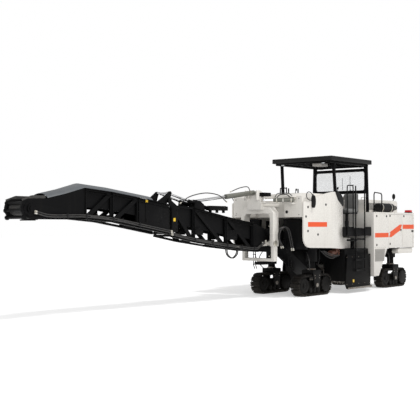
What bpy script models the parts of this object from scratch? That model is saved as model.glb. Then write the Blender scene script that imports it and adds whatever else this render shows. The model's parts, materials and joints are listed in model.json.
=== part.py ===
"""Cold planer: a four-track road milling machine with a slewing, lifting and folding conveyor.

Metres, +Z up, front toward -Y, the machine's left side at +X.
Lengths along the machine are stations: Y measured from midway between the track axles.
The empty named machine moves the whole model so that its box is centred over the origin.
"""

import bpy
import bmesh
from math import cos, pi, radians, sin, tan
from mathutils import Matrix, Vector

# ---- driving sizes ----------------------------------------------------------------------
GAP = 0.0003                    # between pieces that touch
PLAY = 0.006                    # between pieces that move past each other

TIP_Y = -11.55                  # front end of the conveyor head
REAR_Y = 3.04                   # rear end of the tail plates
BODY_HALF = 1.25                # half of the body width
SHEET = 0.04                    # thickness of body panels

WHEELBASE = 4.30                # between front and rear track axles
FRONT_TRACK_X = 0.705
REAR_TRACK_X = 0.818
TRACK_LENGTH = 1.65
TRACK_HEIGHT = 0.605
TRACK_WIDTH = 0.30
SHOES = 26
GROUSER = 0.028
BELT_THICK = 0.055              # track plate under the grousers
COLUMN_RADIUS = 0.105
GUIDE_RADIUS = 0.16
GUIDE_BOTTOM = 0.95

BEAM_X = (0.40, 0.52)
BEAM_Z = (1.30, 1.56)

DRUM_Y = -0.33
DRUM_Z = 0.68
DRUM_RADIUS = 0.42              # drum body; its cutting tools reach further
DRUM_CUT_RADIUS = 0.50
DRUM_WIDTH = 2.00
HOUSING_Y = (-0.98, 0.34)
HOUSING_TOP = 1.28

PICKUP_HALF = 0.335             # pick-up conveyor, drum to front
PICKUP_DEPTH = 0.32
PICKUP_SLOPE = radians(31)

FRONT_Y = -3.31                 # front face of the body
FRONT_TOP = 2.85
TURN_Y = -1.93                  # where the body side starts to lean in
NOTCH_HALF = 0.62               # recess in the front body for the slewing arch
NOTCH_DEPTH = 0.36
DECK_Y = (-1.20, 0.36)
DECK_Z = (1.66, 1.90)
REAR_FRONT_Y = 0.38
REAR_TOP = 2.38
REAR_BOTTOM = 1.25
HOOD_HALF = 0.78
HOOD_Y = (0.62, 2.72)
HOOD_TOP = 2.78
DOOR_Y = (1.28, 2.16, 2.96)     # edges of the two side doors

CANOPY_HALF = 1.06
CANOPY_Y = (-1.65, 0.60)
CANOPY_Z = (3.84, 3.97)
POST_X = 0.94

SLEW_Y = -3.62                  # vertical slewing axis
ARCH_HALF = 0.56
ARCH_INNER = 0.445
ARCH_DEPTH = 0.24
LIFT_Z = 1.48                   # conveyor lift axis, on the slewing axis
FOLD_Y = -7.40
FOLD_Z = 2.56
TRUSS_HALF = 0.30
TRUSS_PLATE = 0.05
CHORD = 0.07                    # width of the truss members
BELT_HALF = 0.235
HEAD_Y = -11.34
HEAD_Z = 2.31
HEAD_RADIUS = 0.20

MACHINE_SHIFT = -(TIP_Y + REAR_Y) / 2

# Truss stations: Y, bottom Z, top Z.
REAR_TRUSS = (
    (-3.34, 1.23, 1.46),
    (-3.80, 1.26, 1.90),
    (-4.29, 1.29, 2.04),
    (-5.38, 1.40, 2.20),
    (-6.58, 1.56, 2.41),
    (-7.36, 1.70, 2.46),
)
FRONT_TRUSS = (
    (-7.44, 1.76, 2.47),
    (-8.42, 1.92, 2.60),
    (-9.20, 2.04, 2.70),
    (-9.95, 2.10, 2.76),
    (-10.45, 2.10, 2.62),
    (-10.90, 2.10, 2.52),
)

# ---- materials: colour, roughness, metallic ----------------------------------------------
PAINTS = {
    "white": ((0.80, 0.79, 0.74), 0.35, 0.0),
    "black": ((0.03, 0.03, 0.032), 0.45, 0.0),
    "steel": ((0.16, 0.15, 0.14), 0.50, 0.8),
    "chrome": ((0.75, 0.75, 0.76), 0.15, 1.0),
    "rubber": ((0.03, 0.03, 0.03), 0.80, 0.0),
    "seat": ((0.35, 0.35, 0.34), 0.75, 0.0),
    "grey": ((0.42, 0.43, 0.44), 0.40, 0.0),
    "glass": ((0.80, 0.83, 0.86), 0.10, 0.0),
}

for old in list(bpy.data.objects):
    bpy.data.objects.remove(old)

PARTS = bpy.data.collections.new("cold_planer")
bpy.context.scene.collection.children.link(PARTS)

# ---- bodies: name, parent, pivot ---------------------------------------------------------
EMPTIES = {}
PIVOTS = {}


def body(name, parent, pivot):
    """An empty on a moving body's axis, carried by its parent body."""
    empty = bpy.data.objects.new(name + "_axis", None)
    PARTS.objects.link(empty)
    PIVOTS[name] = Vector(pivot)
    if parent:
        empty.parent = EMPTIES[parent]
        empty.location = PIVOTS[name] - PIVOTS[parent]
    else:
        empty.location = (0, MACHINE_SHIFT, 0)
    EMPTIES[name] = empty


# ---- shapes ------------------------------------------------------------------------------
TURNS = {
    "X": Matrix(((0, 0, 1, 0), (1, 0, 0, 0), (0, 1, 0, 0), (0, 0, 0, 1))),
    "Y": Matrix(((1, 0, 0, 0), (0, 0, -1, 0), (0, 1, 0, 0), (0, 0, 0, 1))),
    "Z": Matrix.Identity(4),
}
AXES = {"X": Vector((1, 0, 0)), "Y": Vector((0, 1, 0)), "Z": Vector((0, 0, 1))}


def bake(piece, matrix=None):
    """Move an object's placing into its mesh."""
    piece.data.transform(matrix or piece.matrix_basis)
    piece.matrix_basis = Matrix.Identity(4)
    return piece


def box(x, y, z):
    """A block between two values on each axis."""
    middle = [sum(pair) / 2 for pair in (x, y, z)]
    bpy.ops.mesh.primitive_cube_add(size=1.0, location=middle)
    block = bpy.context.object
    block.scale = [pair[1] - pair[0] for pair in (x, y, z)]
    return bake(block)


def rod(start, end, radius, sides=16):
    """A round bar between two points."""
    start, end = Vector(start), Vector(end)
    bpy.ops.mesh.primitive_cylinder_add(vertices=sides, radius=radius, depth=(end - start).length)
    bar = bpy.context.object
    turn = (end - start).to_track_quat("Z", "Y").to_matrix().to_4x4()
    return bake(bar, Matrix.Translation((start + end) / 2) @ turn)


def cross_bar(y, z, half, radius, sides=12):
    """A round bar across the machine, centred on it."""
    return rod((-half, y, z), (half, y, z), radius, sides)


def to_mesh(shape):
    """Turn a curve object into a closed mesh object."""
    bpy.context.scene.collection.objects.link(shape)
    graph = bpy.context.evaluated_depsgraph_get()
    mesh = bpy.data.meshes.new_from_object(shape.evaluated_get(graph))
    work = bmesh.new()
    work.from_mesh(mesh)
    bmesh.ops.remove_doubles(work, verts=work.verts, dist=1e-5)
    bmesh.ops.recalc_face_normals(work, faces=work.faces)
    work.to_mesh(mesh)
    work.free()
    piece = bpy.data.objects.new(shape.name, mesh)
    bpy.context.scene.collection.objects.link(piece)
    matrix = shape.matrix_basis.copy()
    bpy.data.objects.remove(shape)
    return bake(piece, matrix)


def slab(outline, axis, low, high, holes=()):
    """A flat outline pushed along an axis: X takes (y, z), Y takes (x, z), Z takes (x, y)."""
    curve = bpy.data.curves.new("outline", "CURVE")
    curve.dimensions = "2D"
    curve.fill_mode = "BOTH"
    curve.extrude = (high - low) / 2
    for points in (outline, *holes):
        spline = curve.splines.new("POLY")
        spline.points.add(len(points) - 1)
        for point, (u, v) in zip(spline.points, points):
            point.co = (u, v, 0, 1)
        spline.use_cyclic_u = True
    shape = bpy.data.objects.new("outline", curve)
    shape.matrix_basis = Matrix.Translation(AXES[axis] * (low + high) / 2) @ TURNS[axis]
    return to_mesh(shape)


def pipe(points, radius, cyclic=False):
    """A round tube along a line of points."""
    curve = bpy.data.curves.new("pipe", "CURVE")
    curve.dimensions = "3D"
    curve.bevel_depth = radius
    curve.bevel_resolution = 1
    curve.use_fill_caps = True
    spline = curve.splines.new("POLY")
    spline.points.add(len(points) - 1)
    for point, place in zip(spline.points, points):
        point.co = (*place, 1)
    spline.use_cyclic_u = cyclic
    return to_mesh(bpy.data.objects.new("pipe", curve))


def boolean(target, tool, operation):
    """Join or cut a mesh object with another, which is used up."""
    modifier = target.modifiers.new(operation.lower(), "BOOLEAN")
    modifier.object = tool
    modifier.operation = operation
    modifier.solver = "EXACT"
    graph = bpy.context.evaluated_depsgraph_get()
    mesh = bpy.data.meshes.new_from_object(target.evaluated_get(graph))
    target.modifiers.clear()
    target.data = mesh
    bpy.data.objects.remove(tool)
    return target


def join(pieces):
    """One solid from pieces that overlap."""
    main, *others = pieces
    for other in others:
        boolean(main, other, "UNION")
    return main


def cut(target, *tools):
    """Take the tools' shapes out of the target."""
    for tool in tools:
        boolean(target, tool, "DIFFERENCE")
    return target


def copied(piece):
    """A second object with a mesh of its own."""
    twin = piece.copy()
    twin.data = piece.data.copy()
    bpy.context.scene.collection.objects.link(twin)
    return twin


def mirrored(piece):
    """A copy on the machine's other side."""
    twin = copied(piece)
    twin.data.transform(Matrix.Scale(-1, 4, (1, 0, 0)))
    twin.data.flip_normals()
    return twin


def paint(name, look):
    """A material of its own for each piece."""
    colour, roughness, metallic = PAINTS[look]
    finish = bpy.data.materials.new(name + "_" + look)
    finish.use_nodes = True
    shader = finish.node_tree.nodes["Principled BSDF"]
    shader.inputs["Base Color"].default_value = (*colour, 1)
    shader.inputs["Roughness"].default_value = roughness
    shader.inputs["Metallic"].default_value = metallic
    return finish


def part(name, look, pieces, carrier="machine"):
    """Join the pieces, name and paint them, and hang them on the body that carries them."""
    piece = join(pieces if isinstance(pieces, list) else [pieces])
    for collection in list(piece.users_collection):
        collection.objects.unlink(piece)
    PARTS.objects.link(piece)
    piece.data.transform(Matrix.Translation(-PIVOTS[carrier]))
    piece.parent = EMPTIES[carrier]
    piece.name = name
    piece.data.name = name
    piece.data.materials.clear()
    piece.data.materials.append(paint(name, look))
    piece.data.shade_smooth()
    piece.data.set_sharp_from_angle(angle=radians(35))
    return piece


# ---- outlines ----------------------------------------------------------------------------
def arc(centre, radius, start, end, steps):
    """Points on a circle from one angle to another, in degrees."""
    turn = [radians(start + (end - start) * step / steps) for step in range(steps + 1)]
    return [(centre[0] + radius * cos(a), centre[1] + radius * sin(a)) for a in turn]


def stadium(half, radius, steps):
    """Two half circles joined by straight runs, their centres half apart from the middle."""
    return arc((half, 0), radius, -90, 90, steps) + arc((-half, 0), radius, 90, 270, steps)


def moved(points, u, v):
    return [(a + u, b + v) for a, b in points]


def inset(points, distance):
    """A polygon, given counter-clockwise, with each edge moved inward."""
    result = []
    for index, here in enumerate(points):
        before, after = Vector(points[index - 1]), Vector(points[(index + 1) % len(points)])
        here = Vector(here)
        first, second = (here - before).normalized(), (after - here).normalized()
        left = Vector((-first.y, first.x))
        reach = distance / (1 + first.dot(second))
        result.append(tuple(here + reach * (left + Vector((-second.y, second.x)))))
    return result


def both_sides(piece):
    return [piece, mirrored(piece)]


# ---- bodies ------------------------------------------------------------------------------
AXLE_Y = WHEELBASE / 2
TRACKS = (
    ("front_left", FRONT_TRACK_X, -AXLE_Y),
    ("front_right", -FRONT_TRACK_X, -AXLE_Y),
    ("rear_left", REAR_TRACK_X, AXLE_Y),
    ("rear_right", -REAR_TRACK_X, AXLE_Y),
)
LIFT_HEAD = (-3.94, 2.86)       # pin of the lift cylinder on the arch, (y, z)
LIFT_EYE = (-6.28, 2.57)        # rod eye on the rear truss
FOLD_PIN = (-6.42, 2.52)        # trunnion of the fold cylinders on the rear truss
FOLD_EYE = (-7.34, 2.74)        # rod eye on the front truss levers
SWING_PIN = (0.95, -3.42, 2.66)  # slewing cylinder on the front body
SWING_EYE = (0.30, -3.80, 2.66)  # its eye on the arch

body("machine", None, (0, 0, 0))
body("drum", "machine", (0, DRUM_Y, DRUM_Z))
body("side_plate_left_slide", "machine", (BODY_HALF - 0.10, DRUM_Y, DRUM_Z))
body("side_plate_right_slide", "machine", (-(BODY_HALF - 0.10), DRUM_Y, DRUM_Z))
body("scraper_hinge", "machine", (0, HOUSING_Y[1] - 0.06, HOUSING_TOP - 0.10))
for side, x, y in TRACKS:
    body(side + "_steering", "machine", (x, y, TRACK_HEIGHT / 2))
for side, sign in (("left", 1), ("right", -1)):
    for place, edge in (("front", DOOR_Y[0]), ("rear", DOOR_Y[1])):
        body(f"{place}_door_hinge_{side}", "machine", (sign * BODY_HALF, edge, REAR_TOP))
body("hood_hinge", "machine", (0, HOOD_Y[1], REAR_TOP + 0.03))
body("slewing", "machine", (0, SLEW_Y, LIFT_Z))
body("conveyor_lift", "slewing", (0, SLEW_Y, LIFT_Z))
body("conveyor_fold", "conveyor_lift", (0, FOLD_Y, FOLD_Z))
body("lift_cylinder", "slewing", (0, *LIFT_HEAD))
body("lift_rod", "lift_cylinder", (0, *LIFT_HEAD))
body("fold_cylinder", "conveyor_lift", (0, *FOLD_PIN))
body("fold_rod", "fold_cylinder", (0, *FOLD_PIN))
body("slewing_cylinder", "machine", SWING_PIN)
body("slewing_rod", "slewing_cylinder", SWING_PIN)


# ---- tracks ------------------------------------------------------------------------------
END_X = (TRACK_LENGTH - TRACK_HEIGHT) / 2
BASE_RADIUS = TRACK_HEIGHT / 2 - GROUSER
INNER_RADIUS = BASE_RADIUS - BELT_THICK


def along_track(distance, height):
    """Point at a distance round the track's base line, raised by height."""
    straight, bend = 2 * END_X, pi * BASE_RADIUS
    distance %= 2 * (straight + bend)
    sign = 1
    if distance >= straight + bend:
        distance -= straight + bend
        sign = -1
    radius = BASE_RADIUS + height
    if distance < straight:
        return (sign * (distance - END_X), -sign * radius)
    angle = (distance - straight) / BASE_RADIUS
    return (sign * (END_X + radius * sin(angle)), -sign * radius * cos(angle))


def track_outline():
    """One raised pad for each shoe."""
    pitch = (4 * END_X + 2 * pi * BASE_RADIUS) / SHOES
    points = []
    for shoe in range(SHOES):
        for share, height in ((0.02, 0), (0.07, GROUSER), (0.83, GROUSER), (0.88, 0)):
            points.append(along_track((shoe + share) * pitch, height))
    return points


def track_loop():
    """A track about its own centre: the shoes' outline with the space for the wheels cut out."""
    hole = stadium(END_X, INNER_RADIUS, 8)
    return slab(track_outline(), "X", -TRACK_WIDTH / 2, TRACK_WIDTH / 2, holes=[hole])


def track_leg():
    """Lifting column, saddle and roller frame, joined by the track's pivot pin."""
    saddle_out = TRACK_WIDTH / 2 + 0.045
    saddle_in = TRACK_WIDTH / 2 + 0.012
    crown = TRACK_HEIGHT / 2 + 0.02
    wheel = INNER_RADIUS - 0.008
    roller = 0.072
    column_top = GUIDE_BOTTOM + 0.33 - TRACK_HEIGHT / 2
    cheek = [(-0.11, -0.08), (0.11, -0.08), (0.19, crown), (-0.19, crown)]
    pieces = [
        box((-0.085, 0.085), (-END_X, END_X), (-0.117, 0.12)),
        rod((-0.12, -END_X, 0), (0.12, -END_X, 0), wheel, 24),
        rod((-0.12, END_X, 0), (0.12, END_X, 0), wheel, 24),
        rod((0.01 - saddle_out, 0, 0), (saddle_out - 0.01, 0, 0), 0.065, 16),
        box((-saddle_out, saddle_out), (-0.19, 0.19), (crown - 0.004, crown + 0.10)),
        rod((0, 0, crown + 0.08), (0, 0, column_top), COLUMN_RADIUS, 20),
    ]
    pieces += both_sides(slab(cheek, "X", saddle_in, saddle_out))
    for place in (-0.19, 0, 0.19):
        low = roller + 0.003 - INNER_RADIUS
        pieces.append(rod((-0.11, place, low), (0.11, place, low), roller, 12))
    return join(pieces)


def tracks():
    loop = track_loop()
    leg = track_leg()
    for side, x, y in TRACKS:
        place = Matrix.Translation((x, y, TRACK_HEIGHT / 2))
        part(f"track_{side}", "steel", bake(copied(loop), place), side + "_steering")
        part(f"leg_{side}", "black", bake(copied(leg), place), side + "_steering")
    bpy.data.objects.remove(loop)
    bpy.data.objects.remove(leg)


# ---- frame -------------------------------------------------------------------------------
def main_frame():
    pieces = []
    for sign in (-1, 1):
        near, far = sorted((sign * BEAM_X[0], sign * BEAM_X[1]))
        pieces.append(box((near, far), (-3.12, 2.90), BEAM_Z))
    wide = BEAM_X[0] + 0.02
    for y0, y1, z0, z1 in (
        (-3.12, -3.00, BEAM_Z[0], 1.42), (-1.32, -1.20, *BEAM_Z),
        (0.90, 1.02, *BEAM_Z), (2.70, 2.85, *BEAM_Z),
    ):
        pieces.append(box((-wide, wide), (y0, y1), (z0 + 0.01, z1 - 0.01)))
    for side, x, y in TRACKS:
        top = 2.10 if y < 0 else 1.95
        pieces.append(rod((x, y, GUIDE_BOTTOM), (x, y, top), GUIDE_RADIUS, 24))
        sign = 1 if x > 0 else -1
        near, far = sorted((sign * (BEAM_X[1] - 0.03), x - sign * 0.10))
        pieces.append(box((near, far), (y - 0.14, y + 0.14), (BEAM_Z[0] + 0.01, BEAM_Z[1] - 0.01)))
    for sign in (-1, 1):
        near, far = sorted((sign * (BEAM_X[0] + 0.02), sign * 1.15))
        pieces.append(box((near, far), (-3.08, -2.98), (BEAM_Z[0] + 0.02, 2.14)))
    arm_end = arc((0, SLEW_Y), 0.14, 180, 360, 8)
    pieces.append(box((-0.14, 0.14), (-3.115, -3.02), (0.91, 1.36)))
    pieces.append(slab(arm_end + [(0.14, -3.03), (-0.14, -3.03)], "Z", 0.90, 0.975))
    frame = join(pieces)
    bores = [rod((x, y, GUIDE_BOTTOM - 0.05), (x, y, GUIDE_BOTTOM + 0.38), COLUMN_RADIUS + PLAY, 20)
             for side, x, y in TRACKS]
    part("main_frame", "black", cut(frame, *bores))


def drum_housing():
    """Roof, front wall with the conveyor mouth, and two side walls that carry the drum."""
    front, back = HOUSING_Y
    half = DRUM_WIDTH / 2 + 0.03
    wall = 0.04
    mouth = PICKUP_HALF + 0.02
    side = [(front, 0.34), (DRUM_Y - 0.25, 0.34), (DRUM_Y, 0.52), (DRUM_Y + 0.25, 0.34),
            (back, 0.34), (back, HOUSING_TOP), (front, HOUSING_TOP)]
    pieces = both_sides(slab(side, "X", half, half + wall))
    pieces.append(box((-half - 0.01, half + 0.01), (front, back), (HOUSING_TOP - wall, HOUSING_TOP)))
    pieces.append(box((-half - 0.01, half + 0.01), (front, front + wall), (0.34, HOUSING_TOP - 0.01)))
    shell = join(pieces)
    part("drum_housing", "black", cut(shell, box((-mouth, mouth), (front - 0.1, front + 0.1), (0.30, 0.86))))


def milling_drum():
    half = DRUM_WIDTH / 2
    pieces = [cross_bar(DRUM_Y, DRUM_Z, half - 0.02, DRUM_RADIUS, 32)]
    for sign in (-1, 1):
        pieces.append(rod((sign * (half - 0.05), DRUM_Y, DRUM_Z), (sign * half, DRUM_Y, DRUM_Z),
                          DRUM_CUT_RADIUS - 0.04, 32))
    part("milling_drum", "steel", pieces, "drum")


def side_plates():
    """Edge plates that ride on the road beside the drum, with a runner at the foot."""
    inner, outer = BODY_HALF - 0.15, BODY_HALF - 0.10
    back = HOUSING_Y[1]
    outline = [(-1.06, 0.30), (-0.96, 0.13), (back - 0.02, 0.12), (back, 0.34), (back, 1.12), (-0.96, 1.12)]
    for side, sign in (("left", 1), ("right", -1)):
        near, far = sorted((sign * inner, sign * outer))
        foot_near, foot_far = sorted((sign * inner, sign * (outer + 0.05)))
        pieces = [slab(outline, "X", near, far),
                  box((foot_near, foot_far), (-0.95, back - 0.03), (0.125, 0.19))]
        part(f"side_plate_{side}", "black", pieces, f"side_plate_{side}_slide")


def scraper_door():
    """Rear gate of the drum housing, hung from a bar across its top."""
    y = HOUSING_Y[1] - 0.06
    half = DRUM_WIDTH / 2
    pieces = [
        cross_bar(y, HOUSING_TOP - 0.10, half, 0.05),
        box((-half, half), (y - 0.03, y + 0.03), (0.30, HOUSING_TOP - 0.11)),
        box((-half, half), (y - 0.05, y + 0.05), (0.30, 0.38)),
    ]
    part("scraper_door", "black", pieces, "scraper_hinge")


def pickup_conveyor():
    """Closed conveyor from the drum up to the slewing conveyor's tail."""
    start = HOUSING_Y[0] - 0.002
    end = SLEW_Y + 0.485
    thick = PICKUP_DEPTH / 2 / cos(PICKUP_SLOPE)
    low = 0.62

    def middle(y):
        return low + (start - y) * tan(PICKUP_SLOPE) - thick

    outline = [
        (start, middle(start) - 0.02), (start, middle(start) + thick),
        (end + 0.05, middle(end + 0.05) + thick), (end, middle(end) + thick - 0.05),
        (end, middle(end) - thick + 0.10), (end + 0.08, middle(end + 0.08) - thick),
        (start - 0.25, middle(start - 0.25) - thick),
    ]
    part("pickup_conveyor", "black", slab(outline, "X", -PICKUP_HALF, PICKUP_HALF))


# ---- bodywork ----------------------------------------------------------------------------
def front_body():
    """Water tank between the side panels, recessed for the arch, with the top slewing arm."""
    half = BODY_HALF - SHEET - 0.02
    outline = [(FRONT_Y, 2.20), (-1.34, 2.17), (-1.34, 2.60), (-1.60, FRONT_TOP),
               (FRONT_Y + 0.12, FRONT_TOP), (FRONT_Y, FRONT_TOP - 0.08)]
    tank = slab(outline, "X", -half, half)
    notch = box((-NOTCH_HALF, NOTCH_HALF), (FRONT_Y - 0.2, FRONT_Y + NOTCH_DEPTH), (2.0, 3.0))
    corners = both_sides(box((1.04, BODY_HALF), (TURN_Y - 0.03, -1.2), (2.0, 3.0)))
    cut(tank, notch, *corners)
    arm = slab(arc((0, SLEW_Y), 0.10, 180, 360, 8) + [(0.18, FRONT_Y + NOTCH_DEPTH + 0.03),
               (-0.18, FRONT_Y + NOTCH_DEPTH + 0.03)], "Z", 2.49, 2.57)
    x, y, z = SWING_PIN
    plates = [box((x - 0.05, x + 0.05), (y - 0.05, FRONT_Y + 0.02), (z + sign * 0.09 - 0.015, z + sign * 0.09 + 0.015))
              for sign in (-1, 1)]
    part("front_body", "white", [tank, arm] + plates)


def side_panels():
    """Body side: a flat plate, then one that leans in toward the operator's deck."""
    lean = 0.25
    corner = arc((-3.01, 1.67), 0.30, 180, 270, 5)
    flat = corner + [(TURN_Y, 1.34), (TURN_Y, 2.91), (-2.20, 2.87), (-2.68, 2.75), (FRONT_Y, 2.60)]
    rear = [(TURN_Y - 0.02, 1.34), (-1.10, HOUSING_TOP + 0.02), (-0.30, HOUSING_TOP + 0.02), (-0.30, 1.60), (-0.98, 1.62),
            (-1.00, 2.52), (-1.42, 2.70), (-1.66, 2.93), (TURN_Y - 0.02, 2.91)]
    plate = slab(flat, "X", BODY_HALF - SHEET, BODY_HALF)
    wing = slab(rear, "X", BODY_HALF - SHEET, BODY_HALF)
    shear = Matrix.Identity(4)
    shear[0][1] = -lean
    shear[0][3] = lean * TURN_Y
    bake(wing, shear)
    left = join([plate, wing])
    right = mirrored(left)
    part("side_panel_left", "white", left)
    part("side_panel_right", "white", right)


def platform_deck():
    """Operator's floor with the bulkhead toward the front body."""
    half = 0.86
    front, back = DECK_Y
    pieces = [
        box((-half, half), (front + 0.02, back), (DECK_Z[0], DECK_Z[1])),
        box((-1.17, 1.17), (-0.62, back), (DECK_Z[0] + 0.01, DECK_Z[1] - 0.01)),
        box((-0.90, 0.90), (front - 0.08, front + 0.04), (DECK_Z[0] + 0.01, 2.62)),
    ]
    part("platform_deck", "black", pieces)


def consoles():
    """Rounded control desk on each side, at the front of the deck."""
    back = DECK_Y[0] + 0.05
    outline = [(back, DECK_Z[1] + GAP), (-0.90, DECK_Z[1] + GAP), (-0.90, 2.42), (-0.72, 2.55)]
    outline += arc((-1.02, 2.62), 0.33, 10, 80, 4) + [(back, 2.96)]
    desk = slab(outline, "X", 0.42, 0.88)
    part("control_console_right", "black", mirrored(desk))
    part("control_console_left", "black", desk)


def seats():
    """Seat with back rest on a post, one each side."""
    floor = DECK_Z[1] + GAP
    for side, x in (("left", 0.66), ("right", -0.66)):
        pieces = [
            rod((x, -0.20, floor), (x, -0.20, 2.36), 0.06, 12),
            box((x - 0.24, x + 0.24), (-0.45, 0.08), (2.33, 2.46)),
            box((x - 0.23, x + 0.23), (-0.02, 0.12), (2.40, 2.96)),
        ]
        part(f"seat_{side}", "seat", pieces)


def ladders():
    """Boarding ladder with a tall rail on each side of it."""
    rail = 0.02
    x = 1.21
    stations = (-0.60, -0.09)
    for side, sign in (("left", 1), ("right", -1)):
        pieces = [rod((sign * x, y, 0.62), (sign * x, y, 3.14), rail, 8) for y in stations]
        for z in (0.66, 0.96, 1.26, 1.56):
            pieces.append(box(sorted((sign * (x - 0.015), sign * (x + 0.015))), stations, (z - 0.02, z + 0.02)))
        part(f"ladder_{side}", "black", pieces)


def guard_rails():
    """Loop of tube at the rear corner of the deck, standing on the rear body."""
    for side, sign in (("left", 1), ("right", -1)):
        x = sign * (BODY_HALF - 0.04)
        points = [(x, 0.46, REAR_TOP + GAP), (x, 0.46, 2.92), (x, 0.50, 2.98), (x, 0.88, 2.96), (x, 0.93, 2.90),
                  (x, 0.93, REAR_TOP + GAP)]
        part(f"guard_rail_{side}", "black", pipe(points, 0.02))


def canopy():
    front, back = CANOPY_Y
    low, high = CANOPY_Z
    roof = box((-CANOPY_HALF, CANOPY_HALF), (front, back), (low, high))
    part("canopy_roof", "black", roof)
    for side, sign in (("left", 1), ("right", -1)):
        top = Vector((sign * (POST_X - 0.02), -1.34, low - GAP))
        foot = Vector((sign * POST_X, -1.24, 2.62 + GAP))
        post = box((-0.04, 0.04), (-0.035, 0.035), (0, 1))
        shape = Matrix.Identity(4)
        for row in range(3):
            shape[row][2] = (top - foot)[row]
            shape[row][3] = foot[row]
        bake(post, shape)
        part(f"canopy_post_{side}", "black", post)


def canopy_rear():
    """Rear posts joined by the window frame, which stands on the rear body's front edge."""
    y = 0.43
    low, high = CANOPY_Z[0], 2.99
    window = moved(rounded_box(1.78, 0.60, 0.09), 0, 3.34)
    outline = [(-1.02, REAR_TOP + GAP), (-0.94, REAR_TOP + GAP), (-0.94, 2.95), (0.94, 2.95), (0.94, REAR_TOP + GAP),
               (1.02, REAR_TOP + GAP), (0.98, low - GAP), (-0.98, low - GAP)]
    opening = [(-0.87, 3.72), (-0.87, 3.76), (0.87, 3.76), (0.87, 3.72)]
    frame = slab(outline, "Y", y, y + 0.07, holes=[window, opening])
    part("canopy_rear_frame", "black", frame)
    glass = moved(rounded_box(1.78 - 2 * GAP, 0.60 - 2 * GAP, 0.09 - GAP), 0, 3.34)
    part("canopy_window", "glass", slab(glass, "Y", y + 0.03, y + 0.038))


def rounded_box(width, height, radius, steps=4):
    u, v = width / 2 - radius, height / 2 - radius
    return (arc((u, -v), radius, -90, 0, steps) + arc((u, v), radius, 0, 90, steps)
            + arc((-u, v), radius, 90, 180, steps) + arc((-u, -v), radius, 180, 270, steps))


def rear_body():
    """Hollow engine housing, open below, with its doorways cut in both sides."""
    front, back = REAR_FRONT_Y, DOOR_Y[2]
    side = [(front, 0.44), (front + 0.29, 0.44), (1.18, REAR_BOTTOM), (back, REAR_BOTTOM),
            (back, REAR_TOP), (front, REAR_TOP)]
    shell = slab(side, "X", -BODY_HALF, BODY_HALF)
    inner = BODY_HALF - SHEET
    cut(shell, box((-inner, inner), (front + SHEET, back - SHEET), (0.2, REAR_TOP - SHEET)))
    legs = box((-1.02, 1.02), (front - 0.1, front + 0.1), (0.2, REAR_BOTTOM))
    beams = box((-0.56, 0.56), (front - 0.1, front + 0.1), (0.2, BEAM_Z[1] + 0.02))
    doorway = box((-BODY_HALF - 0.1, BODY_HALF + 0.1), (DOOR_Y[0], DOOR_Y[2] - 0.10),
                  (REAR_BOTTOM - 0.1, REAR_TOP - 0.06))
    hatch = box((-HOOD_HALF + 0.08, HOOD_HALF - 0.08), (HOOD_Y[0] + 0.1, HOOD_Y[1] - 0.15), (REAR_TOP - 0.1, REAR_TOP + 0.1))
    vent = box((-0.80, 0.80), (back - 0.1, back + 0.1), (REAR_BOTTOM + 0.15, REAR_TOP - 0.15))
    cut(shell, legs, beams, doorway, hatch, vent)
    part("rear_body", "white", shell)


def rear_doors():
    for side, sign in (("left", 1), ("right", -1)):
        for place, start, end in (("front", DOOR_Y[0], DOOR_Y[1]), ("rear", DOOR_Y[1], DOOR_Y[2])):
            x = sorted((sign * (BODY_HALF - SHEET), sign * BODY_HALF))
            bottom = REAR_BOTTOM + 0.02
            top = REAR_TOP - 0.06
            last = end - 0.108 if place == "rear" else end
            door = box(x, (start + PLAY, last - PLAY), (bottom, top - PLAY))
            part(f"{place}_door_{side}", "white", door, f"{place}_door_hinge_{side}")


def rear_details():
    front, back = HOOD_Y
    base = REAR_TOP + PLAY
    outline = [(front, base), (back, base), (back, HOOD_TOP - 0.06), (back - 0.08, HOOD_TOP), (front, HOOD_TOP)]
    hood = slab(outline, "X", -HOOD_HALF, HOOD_HALF)
    cut(hood, box((-HOOD_HALF + SHEET, HOOD_HALF - SHEET), (front + SHEET, back - SHEET), (base - 0.1, HOOD_TOP - SHEET)))
    part("engine_hood", "white", hood, "hood_hinge")
    part("engine_block", "steel", box((-0.38, 0.38), (1.06, 2.60), (1.20, 2.30)))
    grille = [box((-0.79, 0.79), (2.965 - 0.03, 2.965 + 0.02), (REAR_BOTTOM + 0.16, REAR_TOP - 0.16)),
              box((-0.90, 0.90), (2.965, REAR_Y), (REAR_BOTTOM + 0.10, REAR_TOP - 0.10))]
    part("radiator_grille", "black", grille)
    cleaner = [rod((0.95, 1.10, 2.545), (0.95, 2.05, 2.545), 0.14, 20),
               rod((0.95, 2.00, 2.545), (0.95, 2.45, 2.545), 0.11, 16),
               box((0.88, 1.02), (1.40, 1.50), (REAR_TOP + GAP, 2.50)),
               box((0.88, 1.02), (2.20, 2.30), (REAR_TOP + GAP, 2.50))]
    part("air_cleaner", "black", cleaner)
    tank = slab(moved(rounded_box(1.00, 0.17, 0.08), 2.42, REAR_BOTTOM - 0.085 - GAP), "X", 1.00, 1.22)
    part("belly_tank", "white", tank)


def mirrors():
    """Oval mirror ahead of the body side, on a bent arm; a smaller one at the rear."""
    for side, sign in (("left", 1), ("right", -1)):
        x = sign * BODY_HALF
        arm = pipe([(x + sign * 0.004, -2.95, 2.55), (x + sign * 0.06, -2.95, 2.56), (x + sign * 0.07, -2.93, 2.62)], 0.018)
        disc = slab(moved(stadium(0.13, 0.07, 6), 0, 0), "X", -0.015, 0.015)
        bake(disc, Matrix.Translation((x + sign * 0.075, -2.92, 2.62)) @ Matrix.Rotation(radians(90), 4, "X"))
        part(f"mirror_{side}", "black", [arm, disc])


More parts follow.
